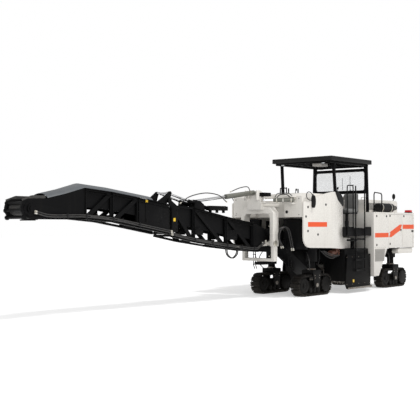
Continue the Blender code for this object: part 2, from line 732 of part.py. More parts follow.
# ---- conveyor ----------------------------------------------------------------------------
def slew_arch():
    """White portal with its head plate, the foot yoke and the pins that carry the conveyor."""
    front, back = SLEW_Y - ARCH_DEPTH / 2, SLEW_Y + ARCH_DEPTH / 2
    outer = [(ARCH_HALF, 1.41), (ARCH_HALF, 2.32), (ARCH_HALF - 0.13, 2.47)]
    inner = [(ARCH_INNER - 0.06, 2.29), (ARCH_INNER, 2.20), (ARCH_INNER, 1.41)]
    right = [(-x, z) for x, z in reversed(outer)]
    left = [(-x, z) for x, z in reversed(inner)]
    portal = slab(outer + right + left + inner, "Y", front, back)
    head = slab([(-0.23, 2.40), (0.23, 2.40), (0.23, 2.72), (0.17, 2.90), (-0.17, 2.90), (-0.23, 2.72)],
                "Y", front - 0.12, front + 0.01)
    pieces = [portal, head]
    pieces.append(box((-ARCH_HALF + 0.01, ARCH_HALF - 0.01), (front + 0.04, back - 0.04), (1.00, 1.08)))
    for sign in (-1, 1):
        x = sorted((sign * (ARCH_INNER + 0.01), sign * (ARCH_HALF - 0.01)))
        pieces.append(box(x, (front + 0.04, back - 0.04), (1.01, 1.46)))
        inner_end = sign * (TRUSS_HALF + 0.005)
        pieces.append(rod((inner_end, SLEW_Y, LIFT_Z), (sign * (ARCH_INNER + 0.04), SLEW_Y, LIFT_Z), 0.06, 16))
        pieces.append(box(sorted((sign * 0.17, sign * 0.21)), (LIFT_HEAD[0] - 0.06, front - 0.10), (2.66, 2.92)))
    x, y, z = SWING_EYE
    for low in (z - 0.07, z + 0.045):
        pieces.append(box((0.20, x + 0.04), (y - 0.04, y + 0.04), (low, low + 0.025)))
    pieces.append(rod((0, SLEW_Y, 0.985), (0, SLEW_Y, 1.03), 0.08, 16))
    part("slew_arch", "white", pieces, "slewing")


def panels(stations, rising):
    """Triangular openings between truss stations; rising says which way the braces lean."""
    holes = []
    for (y0, b0, t0), (y1, b1, t1) in zip(stations, stations[1:]):
        # counter-clockwise corners of the bay, seen with +Y to the right
        far_low, near_low, near_top, far_top = (y1, b1), (y0, b0), (y0, t0), (y1, t1)
        if rising:
            holes += [[far_low, near_low, far_top], [near_low, near_top, far_top]]
        else:
            holes += [[far_low, near_low, near_top], [far_low, near_top, far_top]]
    return [inset(hole, CHORD / 2 + 0.012) for hole in holes]


def truss_outline(stations):
    return [(y, bottom) for y, bottom, top in reversed(stations)] + [(y, top) for y, bottom, top in stations]


def cross_members(stations, half):
    """Square tubes across the truss at its stations, low and high."""
    pieces = []
    for y, bottom, top in stations:
        pieces.append(box((-half, half), (y - 0.025, y + 0.025), (bottom + 0.005, bottom + 0.055)))
    return pieces


def belt_loop(name, top_line, bottom_line, carrier):
    """A belt as one closed band, its top run and return run joined round the end drums."""
    outline = [(y, z) for y, z in reversed(bottom_line)] + list(top_line)
    band = slab(outline, "X", -BELT_HALF, BELT_HALF, holes=[inset(outline, 0.014)])
    part(name, "rubber", band, carrier)


def rear_truss():
    """Rear half of the conveyor: two braced side plates, cross members and cylinder brackets."""
    inner = TRUSS_HALF - TRUSS_PLATE
    holes = panels(REAR_TRUSS[2:], True)
    plates = both_sides(slab(truss_outline(REAR_TRUSS), "X", inner, TRUSS_HALF, holes=holes))
    pieces = plates + cross_members(REAR_TRUSS[1:], TRUSS_HALF - 0.01)
    pieces.append(cross_bar(-3.45, 1.35, TRUSS_HALF - 0.01, 0.06))
    lug = ([(FOLD_Y + 0.04, 2.36), (FOLD_Y + 0.34, 2.38)] + arc((FOLD_Y, FOLD_Z), 0.055, 0, 180, 6))
    trunnion = [(FOLD_PIN[0] - 0.14, 2.34), (FOLD_PIN[0] + 0.26, 2.30), (FOLD_PIN[0] + 0.20, 2.50),
                (FOLD_PIN[0] + 0.06, 2.58), (FOLD_PIN[0] - 0.08, 2.58)]
    for sign in (-1, 1):
        outer = sorted((sign * (inner + 0.005), sign * (TRUSS_HALF - 0.005)))
        pieces.append(slab(lug, "X", *outer))
        pieces.append(slab(trunnion, "X", *outer))
        pieces.append(box(sorted((sign * 0.045, sign * 0.075)), (LIFT_EYE[0] - 0.07, LIFT_EYE[0] + 0.07),
                          (2.36, LIFT_EYE[1] + 0.04)))
    pieces.append(box((-inner - 0.02, inner + 0.02), (LIFT_EYE[0] - 0.10, LIFT_EYE[0] + 0.10), (2.34, 2.38)))
    part("conveyor_rear_frame", "black", pieces, "conveyor_lift")


def front_truss():
    """Front half: side plates to the head drum, fold levers, head drum and tip guard."""
    inner = TRUSS_HALF - TRUSS_PLATE
    outline = [(y, bottom) for y, bottom, top in reversed(FRONT_TRUSS)]
    outline += [(y, top) for y, bottom, top in FRONT_TRUSS]
    outline += arc((HEAD_Y, HEAD_Z), HEAD_RADIUS, 80, 270, 10)
    plates = both_sides(slab(outline, "X", inner, TRUSS_HALF, holes=panels(FRONT_TRUSS[1:4], False)))
    pieces = plates + cross_members(FRONT_TRUSS, TRUSS_HALF - 0.01)
    pieces.append(cross_bar(HEAD_Y, HEAD_Z, TRUSS_HALF - 0.01, 0.13, 20))
    lever = [(FOLD_Y - 0.03, FOLD_Z - 0.05), (FOLD_Y - 0.16, 2.42), (FOLD_Y - 0.40, 2.42), (FOLD_Y - 0.40, 2.50),
             (FOLD_Y - 0.12, 2.66)]
    lever += arc(FOLD_EYE, 0.045, 150, -30, 5) + arc((FOLD_Y, FOLD_Z), 0.055, 20, -60, 3)
    for sign in (-1, 1):
        pieces.append(slab(lever[::-1], "X", *sorted((sign * (inner - 0.055), sign * (inner - PLAY)))))
        pieces.append(box(sorted((sign * (inner - 0.05), sign * (inner + 0.02))), (FOLD_Y - 0.38, FOLD_Y - 0.16), (2.425, 2.47)))
    for y, z in ((-11.47, 2.42), (-11.50, 2.27), (-11.47, 2.13)):
        pieces.append(cross_bar(y, z, TRUSS_HALF - 0.02, 0.03, 8))
        for sign in (-1, 1):
            pieces.append(rod((sign * (TRUSS_HALF - 0.035), y, z), (sign * (TRUSS_HALF + 0.01), y, z), 0.05, 12))
    part("conveyor_front_frame", "black", pieces, "conveyor_fold")


def belts():
    """The belt is parted at the fold: each half of the conveyor carries its own band."""
    top, low = 0.125, 0.10
    rear = [(y, t - top) for y, b, t in REAR_TRUSS[1:]]
    rear_low = [(y, b + low) for y, b, t in REAR_TRUSS[1:]]
    rear[0], rear_low[0] = (-3.62, 1.52), (-3.62, 1.40)
    rear[-1], rear_low[-1] = (FOLD_Y + 0.06, rear[-1][1]), (FOLD_Y + 0.06, rear_low[-1][1])
    belt_loop("rear_belt", rear, rear_low, "conveyor_lift")
    front = [(y, t - top) for y, b, t in FRONT_TRUSS]
    front_low = [(y, b + low) for y, b, t in FRONT_TRUSS]
    front[0], front_low[0] = (FOLD_Y - 0.06, front[0][1]), (FOLD_Y - 0.06, front_low[0][1])
    front[-1], front_low[-1] = (-11.13, 2.37), (-11.13, 2.24)
    belt_loop("front_belt", front, front_low, "conveyor_fold")


def belt_cover():
    """Arched sheet over the belt on the front half, and down the slope to the head."""
    line = [(y, top + 0.004) for y, bottom, top in FRONT_TRUSS[1:]]
    line[0] = (-7.95, line[0][1] - 0.055)
    across = 8
    half = TRUSS_HALF - 0.012
    bpy.ops.mesh.primitive_grid_add(x_subdivisions=across, y_subdivisions=len(line) - 1, size=2)
    sheet = bpy.context.object
    for vertex in sheet.data.vertices:
        u, v = vertex.co.x, vertex.co.y
        y, z = line[round((v + 1) / 2 * (len(line) - 1))]
        vertex.co = (u * half, y, z + 0.10 * cos(u * pi / 2) ** 0.6)
    thick = sheet.modifiers.new("sheet", "SOLIDIFY")
    thick.thickness = 0.008
    thick.offset = 0
    graph = bpy.context.evaluated_depsgraph_get()
    mesh = bpy.data.meshes.new_from_object(sheet.evaluated_get(graph))
    sheet.modifiers.clear()
    sheet.data = mesh
    work = bmesh.new()
    work.from_mesh(mesh)
    bmesh.ops.recalc_face_normals(work, faces=work.faces)
    work.to_mesh(mesh)
    work.free()
    part("belt_cover", "grey", bake(sheet, Matrix.Translation((0, 0, 0.006))), "conveyor_fold")


def cylinders(barrel_name, rod_name, pin, eye, lines, radius, barrel_span, carriers, tie, rod_tie=0.0,
              across=Vector((1, 0, 0))):
    """Hydraulic cylinders side by side: bored barrels on a cross pin, and their rods.

    pin and eye are points; lines are the cylinders' offsets in X; barrel_span runs from the pin.
    """
    pin, eye = Vector(pin), Vector(eye)
    way = (eye - pin).normalized()
    reach = (eye - pin).length
    stem = radius * 0.58
    back, front = barrel_span
    barrels, rods, bores = [], [], []
    for x in lines:
        side = across * x
        barrels.append(rod(pin + side + way * back, pin + side + way * front, radius, 16))
        bores.append(rod(pin + side + way * (back + 0.07), pin + side + way * (front + 0.05), stem + 0.004, 12))
        rods.append(rod(pin + side + way * (front - 0.10), eye + side - way * 0.02, stem, 12))
        rods.append(rod(eye + side - across * 0.03, eye + side + across * 0.03, radius * 0.75, 12))
    if tie:
        barrels.append(rod(pin - across * tie, pin + across * tie, radius * 0.6, 10))
    barrel = cut(join(barrels), *bores)
    if rod_tie:
        rods.append(rod(eye - across * rod_tie, eye + across * rod_tie, radius * 0.5, 10))
    part(barrel_name, "black", barrel, carriers[0])
    part(rod_name, "chrome", rods, carriers[1])


def all_cylinders():
    cylinders("lift_cylinder", "lift_rod", (0, *LIFT_HEAD), (0, *LIFT_EYE), (0,), 0.065, (-0.06, 1.12),
              ("lift_cylinder", "lift_rod"), 0.16)
    cylinders("fold_cylinders", "fold_rods", (0, *FOLD_PIN), (0, *FOLD_EYE), (-0.15, 0.15), 0.048,
              (-0.62, 0.20), ("fold_cylinder", "fold_rod"), 0.235, 0.18)
    cylinders("slewing_cylinder", "slewing_rod", SWING_PIN, SWING_EYE, (0,), 0.055, (-0.05, 0.50),
              ("slewing_cylinder", "slewing_rod"), 0.065, across=Vector((0, 0, 1)))


tracks()
main_frame()
drum_housing()
milling_drum()
side_plates()
scraper_door()
pickup_conveyor()
front_body()
side_panels()
platform_deck()
consoles()
seats()
ladders()
guard_rails()
canopy()
canopy_rear()
rear_body()
rear_doors()
rear_details()
mirrors()
slew_arch()
rear_truss()
front_truss()
belts()
belt_cover()
all_cylinders()
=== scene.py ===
# %% [markdown]
# # A road milling machine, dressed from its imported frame
# The frame brings in the machine's own solids: every body panel, beam, track and
# cylinder at its real size. This lesson gives those solids rounded edges and worked
# finishes, then adds what the solids leave out, such as track shoes, hoses, lamps,
# bolts and belts. Each new piece rides on the body that carries it, so the machine
# can still steer, slew, lift and fold.

# %% Load the frame
import json
from math import cos, exp, pi, radians, sin

import bmesh
import bpy
from mathutils import Matrix, Vector

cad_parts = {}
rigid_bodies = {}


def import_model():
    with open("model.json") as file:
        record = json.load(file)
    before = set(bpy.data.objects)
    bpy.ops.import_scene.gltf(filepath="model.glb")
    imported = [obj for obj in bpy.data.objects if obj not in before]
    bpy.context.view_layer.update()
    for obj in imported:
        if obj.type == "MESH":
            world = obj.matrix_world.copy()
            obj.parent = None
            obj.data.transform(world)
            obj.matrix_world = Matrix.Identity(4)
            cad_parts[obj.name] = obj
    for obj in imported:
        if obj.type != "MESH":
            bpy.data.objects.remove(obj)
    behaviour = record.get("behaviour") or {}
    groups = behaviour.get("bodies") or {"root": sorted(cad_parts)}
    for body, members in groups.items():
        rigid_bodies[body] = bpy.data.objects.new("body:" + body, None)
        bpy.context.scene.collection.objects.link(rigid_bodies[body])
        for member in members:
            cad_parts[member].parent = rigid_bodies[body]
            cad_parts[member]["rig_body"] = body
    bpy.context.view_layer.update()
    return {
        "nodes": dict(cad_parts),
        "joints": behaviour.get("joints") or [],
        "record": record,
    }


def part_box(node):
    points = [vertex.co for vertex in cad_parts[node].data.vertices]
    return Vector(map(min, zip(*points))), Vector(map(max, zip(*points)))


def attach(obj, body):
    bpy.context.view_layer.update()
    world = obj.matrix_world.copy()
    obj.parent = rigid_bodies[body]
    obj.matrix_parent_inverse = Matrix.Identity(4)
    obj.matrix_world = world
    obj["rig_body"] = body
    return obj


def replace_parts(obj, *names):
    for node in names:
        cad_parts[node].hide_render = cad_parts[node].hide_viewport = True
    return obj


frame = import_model()

# %% [markdown]
# ## Where things are
# The machine stands along Y with its conveyor toward -Y and its left side at +X.
# Boxes of the solids give some of the places that follow, such as the body's side, and
# the joints' own axes are read; the other places are given as numbers.

# %% Anchors
LOW, HIGH = 0, 1
AXIS = {joint["name"]: Vector(joint["pos_m"]) for joint in frame["joints"] if "pos_m" in joint}


def corner(node, end):
    return Vector(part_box(node)[end])


BODY_SIDE = corner("rear_body", HIGH).x
print("slewing axis:", tuple(AXIS["slewing"]))

# %% [markdown]
# ## Writing materials as expressions
# A finish is a small network of nodes. Wrapping a socket in a class lets the network
# be written as sums and products: each operator adds the Math node that does it.

# %% Shader sockets as values
class Wire:
    """One output socket, with arithmetic that adds Math nodes."""

    def __init__(self, look, socket):
        self.look = look
        self.socket = socket

    def math(self, operation, *values, clamp=False):
        return self.look.node("ShaderNodeMath", {"operation": operation, "use_clamp": clamp},
                              dict(enumerate(values)))

    def __add__(self, other):
        return self.math("ADD", self, other)

    __radd__ = __add__

    def __mul__(self, other):
        return self.math("MULTIPLY", self, other)

    __rmul__ = __mul__

    def __sub__(self, other):
        return self.math("SUBTRACT", self, other)

    def __rsub__(self, other):
        return self.math("SUBTRACT", other, self)

    def __truediv__(self, other):
        return self.math("DIVIDE", self, other)

    def __pow__(self, other):
        return self.math("POWER", self, other)

    def held(self):
        """Kept between 0 and 1."""
        return self.math("ADD", self, 0.0, clamp=True)


# %% [markdown]
# ## A finish and its nodes
# Every finish starts from Object coordinates. A piece's object sits at the origin, so
# these are the machine's own metres: dust can gather toward the ground, and streaks
# can run down.

# %% The finish class
class Look:
    """A material under construction; slot names the record's finish it stands for, and is kept but not used."""

    def __init__(self, name, slot):
        self.material = bpy.data.materials.new(name)
        self.material.use_nodes = True
        self.slot = slot
        self.tree = self.material.node_tree
        self.tree.nodes.clear()
        self.place = self.node("ShaderNodeTexCoord", output="Object")
        self.parts = self.node("ShaderNodeSeparateXYZ", inputs={0: self.place}, output=None)
        self.x, self.y, self.z = (Wire(self, self.parts.outputs[i]) for i in range(3))

    def node(self, kind, settings=None, inputs=None, output=0):
        """Any node: its settings first, then the values or links of its sockets."""
        made = self.tree.nodes.new(kind)
        for key, value in (settings or {}).items():
            setattr(made, key, value)
        for key, value in (inputs or {}).items():
            if isinstance(value, Wire):
                self.tree.links.new(value.socket, made.inputs[key])
            else:
                made.inputs[key].default_value = value
        return made if output is None else Wire(self, made.outputs[output])

    def noise(self, scale, detail=3.0, rough=0.55, at=None):
        return self.node("ShaderNodeTexNoise", inputs={"Vector": at or self.place, "Scale": scale,
                                                       "Detail": detail, "Roughness": rough}, output="Fac")

    def stretched(self, x, y, z):
        """The place with each axis scaled, for streaks and brushing."""
        return self.node("ShaderNodeMapping", inputs={"Vector": self.place, "Scale": (x, y, z)})

    def ramp(self, value, *stops):
        """A soft step between stops, each a position and a grey value."""
        ramp = self.node("ShaderNodeValToRGB", inputs={0: value}, output=None)
        points = ramp.color_ramp.elements
        while len(points) < len(stops):
            points.new(0.5)
        for point, (where, grey) in zip(points, stops):
            point.position = where
            point.color = (grey, grey, grey, 1)
        return Wire(self, ramp.outputs["Color"])

    def mixed(self, factor, first, second, how="MIX"):
        """Two colours mixed."""
        mix = self.node("ShaderNodeMix", {"data_type": "RGBA", "blend_type": how}, output=None)
        for socket, value in zip((mix.inputs[0], mix.inputs[6], mix.inputs[7]), (factor, first, second)):
            if isinstance(value, Wire):
                self.tree.links.new(value.socket, socket)
            else:
                socket.default_value = value if isinstance(value, float) else (*value, 1)
        return Wire(self, mix.outputs[2])

    def bump(self, height, strength, depth=0.002, normal=None):
        inputs = {"Height": height, "Strength": strength, "Distance": depth}
        if normal:
            inputs["Normal"] = normal
        return self.node("ShaderNodeBump", inputs=inputs)

    def surface(self, **sockets):
        """The Principled shader that ends the finish."""
        names = {key.replace("_", " ").title().replace("Ior", "IOR"): value for key, value in sockets.items()}
        for key, value in names.items():
            if key.endswith("Color") and isinstance(value, tuple) and len(value) == 3:
                names[key] = (*value, 1)
        shader = self.node("ShaderNodeBsdfPrincipled", inputs=names)
        self.node("ShaderNodeOutputMaterial", inputs={0: shader}, output=None)
        return self


# %% [markdown]
# ## Dust, dirt and streaks
# A machine that mills roads is dusty, most of all low down. One function gives the
# share of dust at a place from its height and a cloudy noise, and another the faint
# runs that rain leaves on a tall panel.

# %% Dust and streaks
DUST = (0.30, 0.265, 0.215)


def dust(look, top, most):
    """Thick near the ground, gone above the height called top."""
    height = (1 - look.z / top).held()
    return (height ** 1.4 * (look.noise(5.0, 6.0, 0.65) * 1.5 - 0.15) * most).held()


def streaks(look, most):
    run = look.noise(1.0, 4.0, 0.6, at=look.stretched(9, 9, 0.7))
    return look.ramp(run, (0.52, 0), (0.74, 1)) * most


# %% [markdown]
# ## Paint
# Sprayed paint is smooth but never perfectly even: a slow drift in tone, a fine
# orange-peel ripple, and dirt on top. The same function makes the white body, the
# black frame and the orange stripe, because only colour and gloss differ.

# %% Paint finishes
def paint(name, slot, colour, rough, dirt=0.5, dirt_top=2.6, ripple=0.05, run=0.12, drift=0.05, shine=0.5):
    look = Look(name, slot)
    deep = tuple(c * (1 - 2 * drift) for c in colour)
    tone = look.mixed(look.noise(1.7, 4.0), deep, colour)
    grime = tuple(0.45 * c + 0.55 * d for c, d in zip(colour, DUST))
    tone = look.mixed(streaks(look, run), tone, grime)
    layer = dust(look, dirt_top, dirt)
    tone = look.mixed(layer, tone, DUST)
    gloss = (rough + layer * 0.4 + look.noise(38, 3) * 0.12 - 0.06).held()
    look.surface(base_color=tone, roughness=gloss, specular_ior_level=shine,
                 normal=look.bump(look.noise(170, 2), ripple, 0.0015))
    return look


white = paint("white_paint", "white_paint", (0.85, 0.82, 0.765), 0.27, dirt=0.28, dirt_top=2.2, run=0.16)
black = paint("black_paint", "black_paint", (0.0035, 0.0035, 0.0038), 0.50, dirt=0.05, dirt_top=1.0, run=0.012, shine=0.09)
orange = paint("orange_stripe", "white_paint", (0.90, 0.090, 0.006), 0.34, dirt=0.03, run=0.03)
mesh_grey = paint("mesh_grey", "white_paint", (0.40, 0.385, 0.36), 0.50, dirt=0.20)
grey = paint("grey_paint", "grey_cover", (0.115, 0.125, 0.135), 0.42, dirt=0.10, run=0.16, drift=0.12)
yellow = paint("yellow_mark", "white_paint", (0.85, 0.55, 0.03), 0.35, dirt=0.05)
primer = paint("brown_block", "black_paint", (0.16, 0.052, 0.03), 0.42, dirt=0.3)
olive = paint("cylinder_grey", "black_paint", (0.17, 0.17, 0.145), 0.35, dirt=0.2, run=0.2)
print("paints:", [m.name for m in bpy.data.materials if "paint" in m.name])

# %% [markdown]
# ## Bare and rough metal
# Track shoes and cutting tools are cast and forged steel, with patches of rust and with
# dust that gathers low down. Cylinder rods are hard chrome with fine rings of polish
# round them.

# %% Metal finishes
def iron(name, slot, colour, rust, rough=0.5, dirt=0.9, dirt_top=1.2):
    look = Look(name, slot)
    patch = look.ramp(look.noise(11, 6, 0.7), (0.42, 0), (0.66, 1))
    tone = look.mixed(patch, colour, rust)
    layer = dust(look, dirt_top, dirt)
    tone = look.mixed(layer, tone, DUST)
    height = look.noise(60, 5, 0.7)
    look.surface(base_color=tone, metallic=(0.85 - patch * 0.5 - layer * 0.6).held(),
                 roughness=(rough + patch * 0.25 + layer * 0.3).held(), normal=look.bump(height, 0.35, 0.003))
    return look


track_iron = iron("track_iron", "track_steel", (0.014, 0.0135, 0.013), (0.020, 0.015, 0.011), rough=0.55, dirt=0.16, dirt_top=0.7)
tool_iron = iron("tool_iron", "track_steel", (0.30, 0.29, 0.27), (0.10, 0.055, 0.03), rough=0.38, dirt=0.5)
engine_iron = iron("engine_iron", "track_steel", (0.10, 0.10, 0.10), (0.05, 0.035, 0.028), dirt=0.1)
zinc = iron("zinc_fitting", "chrome_rod", (0.62, 0.61, 0.57), (0.45, 0.40, 0.30), rough=0.3, dirt=0.1)


def polished(name, slot, colour, rough):
    look = Look(name, slot)
    rings = look.noise(1.0, 2.0, at=look.stretched(30, 260, 260))
    look.surface(base_color=colour, metallic=1.0, roughness=(rings * 0.10 + rough).held(),
                 normal=look.bump(rings, 0.03, 0.0005))
    return look


chrome = polished("chrome_rod", "chrome_rod", (0.80, 0.80, 0.81), 0.08)
mirror_glass = polished("mirror_glass", "chrome_rod", (0.72, 0.76, 0.78), 0.02)

# %% [markdown]
# ## Rubber, moulded plastic, vinyl and glass
# Soft and moulded surfaces show their grain: rubber is chalky, a moulded desk has a
# fine stipple, and seat vinyl has a leather-like grain of small cells.

# %% Rubber, plastic and vinyl finishes
def rubber(name, colour, rough, grain, scale):
    look = Look(name, "belt_rubber")
    chalk = look.ramp(look.noise(14, 6, 0.7), (0.40, 0), (0.75, 1)) * 0.35
    pale = tuple(0.6 * c + 0.4 * d for c, d in zip(colour, DUST))
    tone = look.mixed(chalk, colour, pale)
    look.surface(base_color=tone, roughness=(rough + chalk * 0.2).held(),
                 normal=look.bump(look.noise(scale, 3), grain, 0.002))
    return look


def grained(name, slot, colour, rough, scale, strength, shine=0.2):
    look = Look(name, slot)
    cells = look.node("ShaderNodeTexVoronoi", {"feature": "SMOOTH_F1"},
                      {"Vector": look.place, "Scale": scale, "Smoothness": 0.6}, output="Distance")
    worn = look.noise(6, 5, 0.6)
    light = tuple(min(1, c * 1.35 + 0.01) for c in colour)
    look.surface(base_color=look.mixed(worn, colour, light), roughness=(rough + worn * 0.15 - 0.07).held(),
                 specular_ior_level=shine, normal=look.bump(cells, strength, 0.0015))
    return look


hose_rubber = rubber("hose_rubber", (0.012, 0.012, 0.013), 0.48, 0.15, 90)
belt_rubber = rubber("belt_rubber", (0.022, 0.022, 0.022), 0.75, 0.30, 45)
vinyl = grained("seat_vinyl", "seat_vinyl", (0.16, 0.16, 0.155), 0.58, 330, 0.5)
moulded = grained("moulded_plastic", "desk_moulding", (0.006, 0.006, 0.0065), 0.46, 700, 0.25)
roof_shell = grained("roof_shell", "roof_shell", (0.006, 0.006, 0.006), 0.50, 500, 0.2)


def clear(name, slot, colour, alpha, rough=0.04):
    look = Look(name, slot)
    haze = look.noise(3, 5, 0.7)
    look.surface(base_color=colour, roughness=(haze * 0.08 + rough).held(), alpha=(haze * 0.06 + alpha).held())
    return look


def lens(name, colour, scale=140):
    look = Look(name, "window_glass")
    ribs = look.node("ShaderNodeTexVoronoi", {"feature": "F1"}, {"Vector": look.place, "Scale": scale},
                     output="Distance")
    look.surface(base_color=colour, roughness=(ribs * 0.1 + 0.06).held(), normal=look.bump(ribs, 0.6, 0.002))
    return look


window = clear("window_glass", "window_glass", (0.72, 0.78, 0.80), 0.16)
lamp_clear = lens("lamp_clear", (0.75, 0.78, 0.80))
lamp_red = lens("lamp_red", (0.62, 0.02, 0.02))
print("finishes in all:", len(bpy.data.materials))
# %% [markdown]
# ## Shapes to build with
# Each shape starts from a bmesh operator and is finished by bevels, so that its edges
# catch the light as real edges do. A kit gathers shapes, placed by matrices, into one
# piece: a row of bolts is one bolt made once and stamped many times.

# %% Starting shapes
ROUND = {"affect": "EDGES", "profile": 0.5, "material": -1, "offset_type": "OFFSET"}


def softened(work, edge, sharper=40, segments=2):
    """Bevels every edge of a bmesh that turns more than this many degrees."""
    sharp = [e for e in work.edges if len(e.link_faces) == 2 and e.calc_face_angle(0) > radians(sharper)]
    bmesh.ops.bevel(work, geom=sharp, offset=edge, segments=segments, clamp_overlap=True, **ROUND)
    return work


def block(low, high, edge=0.005):
    work = bmesh.new()
    low, high = Vector(low), Vector(high)
    bmesh.ops.create_cube(work, size=1)
    bmesh.ops.scale(work, vec=high - low, verts=work.verts)
    bmesh.ops.translate(work, vec=(low + high) / 2, verts=work.verts)
    return softened(work, edge) if edge else work


def rod(radius, length, edge=0.002, sides=20, tip=None):
    """A bar along +Z from the origin; tip is its far radius where it tapers."""
    work = bmesh.new()
    bmesh.ops.create_cone(work, cap_ends=True, segments=sides, radius1=radius,
                          radius2=radius if tip is None else tip, depth=length)
    bmesh.ops.translate(work, vec=(0, 0, length / 2), verts=work.verts)
    return softened(work, edge, 50) if edge else work


def plate(outline, thick, edge=0.002):
    """A flat outline in X and Y, given a thickness upward."""
    work = bmesh.new()
    bmesh.ops.contextual_create(work, geom=[work.verts.new((x, y, 0)) for x, y in outline])
    top = bmesh.ops.extrude_face_region(work, geom=list(work.faces))["geom"]
    moved = [v for v in top if isinstance(v, bmesh.types.BMVert)]
    bmesh.ops.translate(work, vec=(0, 0, thick), verts=moved)
    bmesh.ops.recalc_face_normals(work, faces=work.faces)
    return softened(work, edge) if edge else work


def turned(profile, sides=32):
    """A profile of radius and height spun round Z."""
    work = bmesh.new()
    line = [work.verts.new((r, 0, z)) for r, z in profile]
    edges = [work.edges.new(pair) for pair in zip(line, line[1:])]
    bmesh.ops.spin(work, geom=line + edges, axis=(0, 0, 1), cent=(0, 0, 0), angle=2 * pi, steps=sides,
                   use_merge=True)
    bmesh.ops.remove_doubles(work, verts=work.verts, dist=1e-5)
    bmesh.ops.recalc_face_normals(work, faces=work.faces)
    return work


def ball(radius, squash=(1, 1, 1)):
    work = bmesh.new()
    bmesh.ops.create_uvsphere(work, u_segments=16, v_segments=10, radius=radius)
    bmesh.ops.scale(work, vec=squash, verts=work.verts)
    return work


# %% [markdown]
# ## Hoses and bent tube
# A hose follows a smooth line through a few points. The points are blended with a
# Catmull-Rom curve, and a curve object with a round bevel sweeps the tube.

# %% Tube along a route
def eased(points, steps=6):
    """A smooth line through the points."""
    points = [Vector(p) for p in points]
    ends = [2 * points[0] - points[1], *points, 2 * points[-1] - points[-2]]
    line = []
    for a, b, c, d in zip(ends, ends[1:], ends[2:], ends[3:]):
        for i in range(steps):
            t = i / steps
            line.append(0.5 * (2 * b + (c - a) * t + (2 * a - 5 * b + 4 * c - d) * t ** 2
                               + (3 * b - a - 3 * c + d) * t ** 3))
    return line + [points[-1]]


def tube(points, radius, smooth=True, closed=False, resolution=2):
    """A round tube as a bmesh, along the points or a smooth line through them."""
    line = eased(points) if smooth else [Vector(p) for p in points]
    curve = bpy.data.curves.new("route", "CURVE")
    curve.dimensions = "3D"
    curve.bevel_depth = radius
    curve.bevel_resolution = resolution
    curve.use_fill_caps = True
    spline = curve.splines.new("POLY")
    spline.points.add(len(line) - 1)
    for point, place in zip(spline.points, line):
        point.co = (*place, 1)
    spline.use_cyclic_u = closed
    holder = bpy.data.objects.new("route", curve)
    mesh = bpy.data.meshes.new_from_object(holder)
    work = bmesh.new()
    work.from_mesh(mesh)
    bpy.data.objects.remove(holder)
    bpy.data.curves.remove(curve)
    bpy.data.meshes.remove(mesh)
    bmesh.ops.remove_doubles(work, verts=work.verts, dist=1e-6)
    return work


def toward(point, way, roll=0.0):
    """A placement that turns +Z to a direction, at a point."""
    way = Vector(way).normalized()
    return (Matrix.Translation(point) @ way.to_track_quat("Z", "Y").to_matrix().to_4x4()
            @ Matrix.Rotation(radians(roll), 4, "Z"))


# %% [markdown]
# ## Kits and pieces
# A kit copies shapes in at their places. Finishing it makes the object: its mesh keeps
# its place, its object stays at the origin, and it is tied to its body.

MADE = []


class Kit:
    """Shapes gathered into one piece."""

    def __init__(self):
        self.work = bmesh.new()

    def add(self, shape, *places):
        stamp = bpy.data.meshes.new("stamp")
        shape.to_mesh(stamp)
        for place in places or (Matrix(),):
            place = place if isinstance(place, Matrix) else Matrix.Translation(place)
            copy = stamp.copy()
            copy.transform(place)
            if place.is_negative:
                copy.flip_normals()
            self.work.from_mesh(copy)
            bpy.data.meshes.remove(copy)
        bpy.data.meshes.remove(stamp)
        shape.free()
        return self

    def mirrored(self):
        """Adds the mirror image across the machine's middle plane."""
        stamp = bpy.data.meshes.new("stamp")
        self.work.to_mesh(stamp)
        stamp.transform(Matrix.Scale(-1, 4, (1, 0, 0)))
        stamp.flip_normals()
        self.work.from_mesh(stamp)
        bpy.data.meshes.remove(stamp)
        return self

    def done(self, name, look, body, smooth=38):
        mesh = bpy.data.meshes.new(name)
        self.work.to_mesh(mesh)
        self.work.free()
        mesh.materials.append(look.material)
        mesh.shade_smooth()
        mesh.set_sharp_from_angle(angle=radians(smooth))
        piece = bpy.data.objects.new(name, mesh)
        bpy.context.collection.objects.link(piece)
        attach(piece, body)
        MADE.append(name)
        return piece


def made(name, shape, look, body, *places):
    """One shape as a piece."""
    return Kit().add(shape, *places).done(name, look, body)


# %% [markdown]
# ## Small hardware
# Hexagon bolts, latches and hose ends repeat all over the machine. Each is a few
# turned or extruded shapes with only a few dozen faces.

# %% Bolts, latches and hose ends
def bolt(size=0.011):
    kit = Kit()
    kit.add(rod(size * 1.25, size * 0.3, 0, 12))
    kit.add(rod(size, size, size * 0.12, 6))
    return kit.work


def latch():
    """A round flush latch with a folded key bar."""
    kit = Kit()
    kit.add(turned([(0, 0), (0.034, 0), (0.034, 0.004), (0.028, 0.008), (0.024, 0.004), (0, 0.004)], 20))
    kit.add(block((-0.018, -0.005, 0.003), (0.018, 0.005, 0.009), 0.002))
    return kit.work


def hose_end(radius):
    """A crimped ferrule and a hexagon nut, along +Z."""
    kit = Kit()
    kit.add(turned([(0, 0), (radius * 1.30, 0), (radius * 1.30, radius * 1.3), (radius * 1.16, radius * 1.5),
                    (radius * 1.30, radius * 1.7), (radius * 1.30, radius * 3), (0, radius * 3)], 14))
    kit.add(rod(radius * 1.45, radius * 1.6, radius * 0.1, 6), (0, 0, radius * 3))
    return kit.work


def hose(name, points, radius, body, ends=True):
    """A rubber hose with a metal end on each end."""
    made(name, tube(points, radius), hose_rubber, body)
    if ends:
        first, last = Vector(points[0]), Vector(points[-1])
        kit = Kit()
        kit.add(hose_end(radius), toward(first, first - Vector(points[1])))
        kit.add(hose_end(radius), toward(last, last - Vector(points[-2])))
        kit.done(name + "_ends", zinc, body)


